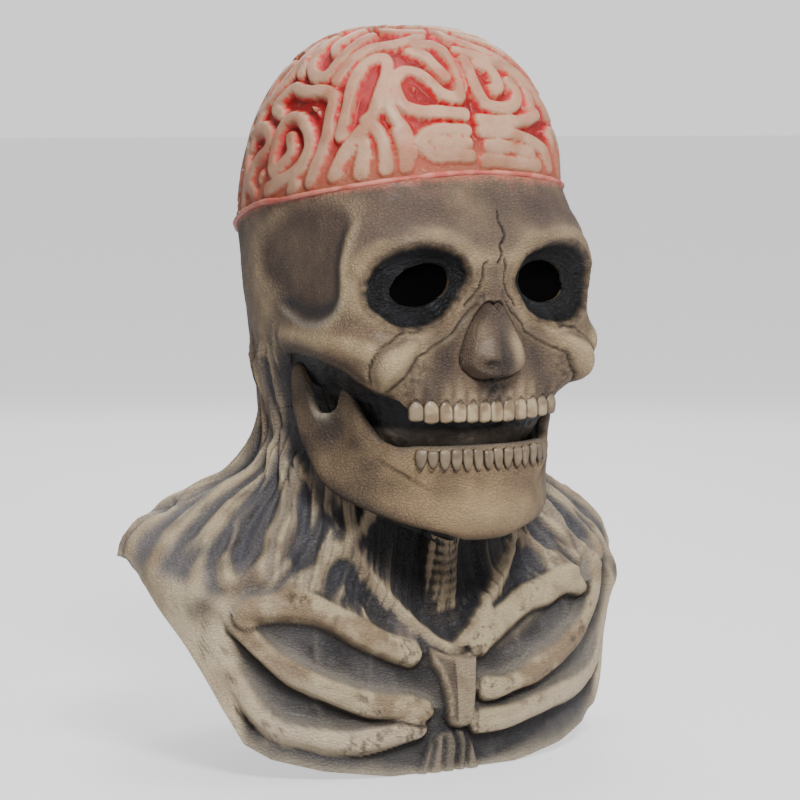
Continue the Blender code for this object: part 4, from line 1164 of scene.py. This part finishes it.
def jaw_mesh():
    columns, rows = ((340, 100))
    distance, share = np.meshgrid(np.linspace(-124, 124, columns), np.linspace(0, 1, rows), indexing="xy")
    points = jaw_points(distance, share)
    away = np.abs(distance)
    upper, lower = jaw_edges(distance)
    z = points[..., 2]
    soft, fine = cloud(points, 22, 3, 2.0), cloud(points, 5, 3, 6.0)
    from_edge = np.minimum(upper - z, z - lower)
    crease = hump(z + 199 - 0.55 * (away - 52), 0, 1.6) * hump(away, 52, 13)
    h = -2.2 * np.exp(-from_edge / 1.3)
    h += 2.4 * hump(away, 100, 16, z, -200, 9)
    h -= 2.6 * hump(away, 92, 12, z, -184, 10)
    h += 2.4 * hump(away, 76, 6, z, -172, 13)
    h -= 1.6 * hump(away, 52, 14, z, -214, 6) + 1.0 * crease
    teeth = np.abs(np.sin((distance + 45) / 90 * 14 * math.pi))
    roots = hump(z, -198, 3.5) * (away < 47)
    h += roots * (1.2 * teeth - 0.5) + 0.35 * soft + 0.16 * fine
    h += 0.9 * hump(away, 100, 9, z - upper, -2.5, 2.2)
    colour = mix(srgb(178, 154, 122), srgb(140, 119, 96), step(-0.3, 0.7, soft))
    rear = step(40, 88, away)
    colour = coats(
        colour,
        ((78, 66, 58), rear * np.clip(0.8 + 0.35 * soft, 0.3, 0.98)),
        ((62, 53, 48), 0.75 * hump(z - lower, 0, 7) * step(30, 62, away)),
        ((90, 76, 66), 0.5 * hump(z, -205, 7, away, 58, 13)),
        ((92, 78, 68), 0.35 * hump(z, -208, 5, away, 26, 12)),
        ((204, 180, 144), 0.55 * hump(distance, 0, 30, z, -221, 9)),
        ((120, 100, 82), 0.6 * hump(distance, 0, 24) * hump(z - lower, 0, 4)),
        (INK, 0.55 * crease),
        # painted highlight on the lower lip of the notch at the top of the ramus
        ((222, 212, 192), hump(away, 100, 8) * np.exp(-(upper - z) / 2.2)))
    front = np.exp(-(from_edge / 3.0)) * step(60, 64, away) * (1 - step(86, 90, away))
    colour = coats(
        colour,
        ((70, 62, 58), 0.7 * front),
        (INK, 0.5 * np.exp(-((z - lower) / 1.6))))
    gum = hump(z + 190.4 + 7.2 * teeth**0.8, 0, 0.8) * (away < 45.5)
    colour = coats(colour, (INK, 0.85 * gum))
    ledge = np.exp(-(upper - z) / 2.6) * (1 - step(50, 60, away))
    colour = mix(colour, srgb(112, 105, 98), 0.85 * ledge)
    wall = mix(srgb(60, 54, 50), srgb(104, 92, 82), step(-0.5, 0.5, soft))
    outer = jaw_points(distance, share, h)
    inner = jaw_points(distance, share, np.minimum(blur(h, 4, False), h) - JAW_WALL)
    colours = np.concatenate([np.clip(colour, 0, 1).reshape(-1, 3), wall.reshape(-1, 3)])
    mesh = mesh_of("jaw_skin", np.concatenate([outer.reshape(-1, 3), inner.reshape(-1, 3)]),
                   sheet_faces(rows, columns), colours)
    mesh.set_sharp_from_angle(angle=SHARP)
    return mesh


def tooth_points(width, tall, deep, arch):
    """One crown as a rounded block: square at its biting edge, -z, and arched towards its gum."""
    rings, around = 18, 22
    rows = []
    for i in range(rings + 1):
        v = -1 + 2 * i / rings
        wide = (1 - abs(v)**8)**0.5 if v < arch else (1 - ((v - arch) / (1 - arch))**1.8)**0.7
        thick = (1 - abs(v)**4)**0.5 * (1 - 0.2 * max(v, 0))
        ring = []
        for k in range(around):
            t = k * math.tau / around
            c, s = math.cos(t), math.sin(t)
            ring.append((math.copysign(abs(c)**0.7, c) * width / 2 * wide,
                         math.copysign(abs(s)**0.85, s) * deep / 2 * thick, v * tall / 2))
        rows.append(ring)
    return np.array(rows)


def row_of_teeth(name, upper):
    """A row of separate crowns along the arch, each a little different."""
    rng = np.random.RandomState(3 if upper else 8)
    count = 12 if upper else 14
    points, faces, colours = [], [], []
    for i in range(count):
        share = (i + 0.5) / count
        end = hump(min(share, 1 - share), 0, 0.09)
        if upper:
            angle = math.radians(-30 + 60 * share)
            here = bare_hood(5.26, angle)
            side = bare_hood(5.26, angle + 0.02) - bare_hood(5.26, angle - 0.02)
            width, tall, deep, out, arch = 8.8, 12.6 - 1.6 * end, 5.0, 0.9, 0.15
        else:
            distance = -44 + 88 * share
            here = jaw_points(np.array(distance), np.array(0.15))
            after, before = (jaw_points(np.array(distance + k), np.array(0.15)) for k in (1.0, -1.0))
            side = after - before
            width, tall, deep, out, arch = 6.9, 12.0 - 2.0 * end, 4.2, 0.2, -0.35
        side = side * [1, 1, 0]
        side /= np.linalg.norm(side)
        outward = np.array([side[1], -side[0], 0])
        crown = tooth_points(width * (1 + rng.uniform(-0.07, 0.05)), tall * (1 + rng.uniform(-0.1, 0.1)),
                             deep,
                             arch)
        toward_gum = np.linspace(-1, 1, len(crown))[:, None]
        if not upper:
            crown, toward_gum = (crown * [1, 1, -1])[::-1], toward_gum[::-1]
        x = crown[..., 0] + rng.uniform(-0.07, 0.07) * crown[..., 2]
        world = (here + outward * (out + rng.uniform(-0.3, 0.3)) + x[..., None] * side
                 + crown[..., 1][..., None] * outward + crown[..., 2][..., None] * np.array([0, 0, 1.0]))
        world = world + 0.2 * cloud(world, 3, 2, i)[..., None] * outward
        rows, around = world.shape[:2]
        faces.append(quads(rows, around, True, sum(len(p) for p in points)))
        points.append(world.reshape(-1, 3))
        tone = mix(srgb(214, 194, 160), srgb(156, 134, 106), step(-0.5, 0.5, cloud(world, 4, 2, 3.0)))
        tone = mix(tone, srgb(112, 98, 82), np.full(tone.shape[:2],
                                                    min((0.22 if upper else 0.72) + 0.5 * end, 0.85)))
        edge = np.maximum(step(0.45, 0.95, toward_gum), 0.8 * step(0.72, 0.96, -toward_gum) * upper)
        tone = mix(tone, srgb(84, 62, 48), 0.75 * edge * np.ones((rows, around)))
        half = np.maximum(np.abs(crown[..., 0]).max(axis=1, keepdims=True), 0.1)
        flank = step(0.7, 0.97, np.abs(crown[..., 0]) / half)
        colours.append(mix(tone, srgb(52, 40, 34), 0.9 * flank).reshape(-1, 3))
    return mesh_of(name, np.concatenate(points), np.concatenate(faces), np.concatenate(colours))


# ================================================================ webs and foam
def web_skin(top_edge, foot_edge, reach, folds, bulge=((0, 0), (1, 0)), pipe=0.0):
    """A thin web between two edges of the hood, bulging out to the lips beside the mouth."""
    columns, rows = 260, 60
    angle = np.radians(np.linspace(-reach, reach, columns))
    top, foot = edge_at(top_edge, angle), edge_at(foot_edge, angle)
    share = np.linspace(0, 1, rows)
    level = top + (foot - top) * share[:, None]
    turn = np.broadcast_to(angle, level.shape)
    away = np.degrees(np.abs(turn))
    bare, lift = hood_base(level, turn)
    skin = Skin(bare)
    beside = np.clip((away - 26) / 16, 0, 1)
    depth = np.interp(share, *zip(*bulge))[:, None]
    fan = np.stack([np.degrees(turn) * 1.2, level * 9, np.zeros(level.shape)], -1)
    skin.height = (lift - SKIN - WEB_GAP + depth * beside
                   + folds * (1.1 * cloud(fan, 9, 3, 3.0) + 0.5 * np.abs(cloud(bare, 6, 2)) - 0.8))
    # the windpipe shows through the web under the chin
    skin.height += pipe * np.clip(1 - ((bare[..., 0] + 3) / 13)**2, 0, 1)**0.8 * step(0, 0.7, share)[:, None]
    gleam = step(-0.2, 0.9, cloud(fan, 7, 3, 11.0))
    colour = mix(srgb(5, 5, 6), srgb(34, 33, 34), 0.8 * gleam * (1 - 0.8 * beside))
    gum = step(-176, -183, bare[..., 2]) * step(-192, -184, bare[..., 2])
    skin.colour = mix(colour, srgb(120, 110, 100), 0.75 * gum * (1 - step(38, 52, away)))
    return skin


def soft_copy(node, name, body, paint):
    """A rounded foam pad in the place of its plain CAD solid."""
    mesh = node.data.copy()
    mesh.name = name
    item = link(bpy.data.objects.new(name, mesh))
    mesh.materials.clear()
    mesh.materials.append(paint)
    remesh = item.modifiers.new("even", "REMESH")
    remesh.mode = "VOXEL"
    remesh.voxel_size = FOAM_GRID
    ease = item.modifiers.new("ease", "SMOOTH")
    ease.factor = 0.5
    ease.iterations = 8
    item.data = applied(item)
    item.data.polygons.foreach_set("use_smooth", np.ones(len(item.data.polygons), bool))
    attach(item, body)
    return item


# ================================================================ light, floor and camera
# (name, place, size, watts)
LAMPS = [("key", (-0.55, -1.7, 1.25), 0.55, 66), ("fill", (1.7, -1.0, 0.4), 1.2, 9),
         ("top", (0.1, 0.2, 1.7), 1.0, 20), ("rim", (0.9, 1.6, 0.7), 1.2, 14)]


def studio():
    """Soft light all round, and a paler wall that only the camera sees."""
    world = bpy.data.worlds.new("studio")
    bpy.context.scene.world = world
    world.use_nodes = True
    nodes, links = world.node_tree.nodes, world.node_tree.links
    glow, wall = nodes["Background"], nodes.new("ShaderNodeBackground")
    for light, colour, strength in ((glow, (0.80, 0.80, 0.84, 1), 0.38), (wall, (0.80, 0.79, 0.82, 1), 1.5)):
        light.inputs["Color"].default_value = colour
        light.inputs["Strength"].default_value = strength
    path, either = nodes.new("ShaderNodeLightPath"), nodes.new("ShaderNodeMixShader")
    links.new(path.outputs["Is Camera Ray"], either.inputs["Fac"])
    links.new(glow.outputs["Background"], either.inputs[1])
    links.new(wall.outputs["Background"], either.inputs[2])
    links.new(either.outputs["Shader"], nodes["World Output"].inputs["Surface"])


def pale_floor():
    """A wide floor under the lowest point of the bib, as pale as the wall."""
    mesh = bpy.data.meshes.new("floor")
    far = 60
    mesh.from_pydata([(-far, -far, FLOOR_Z), (far, -far, FLOOR_Z), (far, far, FLOOR_Z),
                      (-far, far, FLOOR_Z)],
                     [], [(0, 1, 2, 3)])
    item = link(bpy.data.objects.new("floor", mesh))
    paint = plain_nodes("floor_paint", (0.50, 0.495, 0.51), (0.53, 0.525, 0.54), 3, 0.7, 0.02)
    nodes, links = paint.node_tree.nodes, paint.node_tree.links
    nodes["Principled BSDF"].inputs["Emission Color"].default_value = (0.8, 0.79, 0.82, 1)
    seen = nodes.new("ShaderNodeMath")
    seen.operation = "MULTIPLY"
    seen.inputs[1].default_value = 1.06
    links.new(nodes.new("ShaderNodeLightPath").outputs["Is Camera Ray"], seen.inputs[0])
    links.new(seen.outputs["Value"], nodes["Principled BSDF"].inputs["Emission Strength"])
    mesh.materials.append(paint)
    item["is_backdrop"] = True


def lamps():
    for name, place, size, power in LAMPS:
        light = bpy.data.lights.new(name, "AREA")
        light.size = size
        light.energy = power
        lamp = link(bpy.data.objects.new(name, light))
        lamp.location = place
        aim = Vector((0, 0, -0.15)) - Vector(place)
        lamp.rotation_euler = aim.to_track_quat("-Z", "Y").to_euler()


def camera():
    """Seen from the wearer's right, a little from above."""
    azimuth, elevation, away = math.radians(-32), math.radians(5.2), 1.7
    right = Vector((math.cos(azimuth), math.sin(azimuth), 0))
    back = Vector((math.sin(azimuth) * math.cos(elevation), -math.cos(azimuth) * math.cos(elevation),
                   math.sin(elevation)))
    target = Vector((0, 0, -0.1663)) - right * 0.00667
    item = link(bpy.data.objects.new("camera", bpy.data.cameras.new("camera")))
    item.location = target + back * away
    item.rotation_euler = (-back).to_track_quat("-Z", "Y").to_euler()
    item.data.lens = 137.7
    bpy.context.scene.camera = item


# ================================================================ the mask
def stand_in(item, slot, *nodes):
    """The item is shown in place of these nodes."""
    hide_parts(*nodes)


def skins(bone, flesh):
    """Skull, neck and brain, with the lip of latex between brain and skull."""
    skull = piece("skull_skin", thick_mesh("skull_skin", skull_skin(), 16), bone, "head")
    cut_holes(skull)
    stand_in(skull, "bone_latex", "skull_shell", "nose_casting")
    neck = piece("neck_skin", thick_mesh("neck_skin", neck_skin(), 22, ease=4), bone, "head")
    stand_in(neck, "bone_latex", "neck_bib")
    brain = piece("brain_skin", thick_mesh("brain_skin", brain_skin(), 18), flesh, "head")
    stand_in(brain, "brain_latex", "brain_cap")
    stand_in(piece("brain_lip", bead_mesh(), flesh, "head"), "brain_latex", "brain_seam_bead")


def jaw_and_teeth(bone, enamel):
    stand_in(piece("jaw_skin", jaw_mesh(), bone, "jaw"), "bone_latex", "jaw_shell")
    for name, upper, node, body in (("upper_tooth_row", True, "upper_teeth", "head"),
                                    ("lower_tooth_row", False, "lower_teeth", "jaw")):
        stand_in(piece(name, row_of_teeth(name, upper), enamel, body), "tooth_latex", node)


def webs(black):
    """The black webs at the mouth and under the chin, which stretch as the jaw opens; they are on no body.
    """
    skin = web_skin([(a, b - WEB_LAP) for a, b in SKULL_EDGE], LINING_EDGE, 95, 1.0, MOUTH_BULGE)
    lining = piece("mouth_web", double_sided("mouth_web", skin), black, None)
    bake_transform(lining)
    stand_in(lining, "black_latex", "mouth_lining")
    skin = web_skin(LINING_EDGE, [(a, b + WEB_LAP) for a, b in NECK_EDGE], 86, 0.8, pipe=8.5)
    throat = piece("under_chin_web", double_sided("under_chin_web", skin), black, None)
    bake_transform(throat)
    stand_in(throat, "black_latex", "throat_web")


def gauze_and_foam(nodes):
    gauze = plain_nodes("eye_gauze", (0.0004, 0.0003, 0.0003), (0.002, 0.0015, 0.0015), 1600, 1.0, 0.8, True,
                        0.05)
    for side in ("right", "left"):
        materials = nodes["eye_mesh_" + side].data.materials
        materials.clear()
        materials.append(gauze)
    foam = plain_nodes("grey_foam", (0.03, 0.03, 0.032), (0.12, 0.12, 0.125), 900, 0.95, 0.7, True)
    for node, body in (("crown_pad", "head"), ("brow_pad", "head"), ("nape_pad", "head"),
                       ("chin_pad", "jaw")):
        stand_in(soft_copy(nodes[node], node + "_foam", body, foam), "foam", node)


def build():
    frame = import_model()
    cad_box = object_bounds()
    studio()
    pale_floor()
    lamps()
    camera()
    bone = painted("bone_latex", 0.44, 620, 0.8, coat=0.06, mottle=0.10, speck=0.10, shine=0.35)
    flesh = painted("brain_latex", 0.40, 900, 0.5, coat=0.18, mottle=0.08, speck=0.05, subsurface=0.1)
    enamel = painted("tooth_latex", 0.36, 700, 0.2, coat=0.2, mottle=0.08)
    black = painted("black_latex", 0.40, 500, 0.35, coat=0.12, mottle=0.3, subsurface=0.0, shine=0.25)
    skins(bone, flesh)
    jaw_and_teeth(bone, enamel)
    webs(black)
    gauze_and_foam(frame["nodes"])
    return cad_box


CAD_BOX = build()
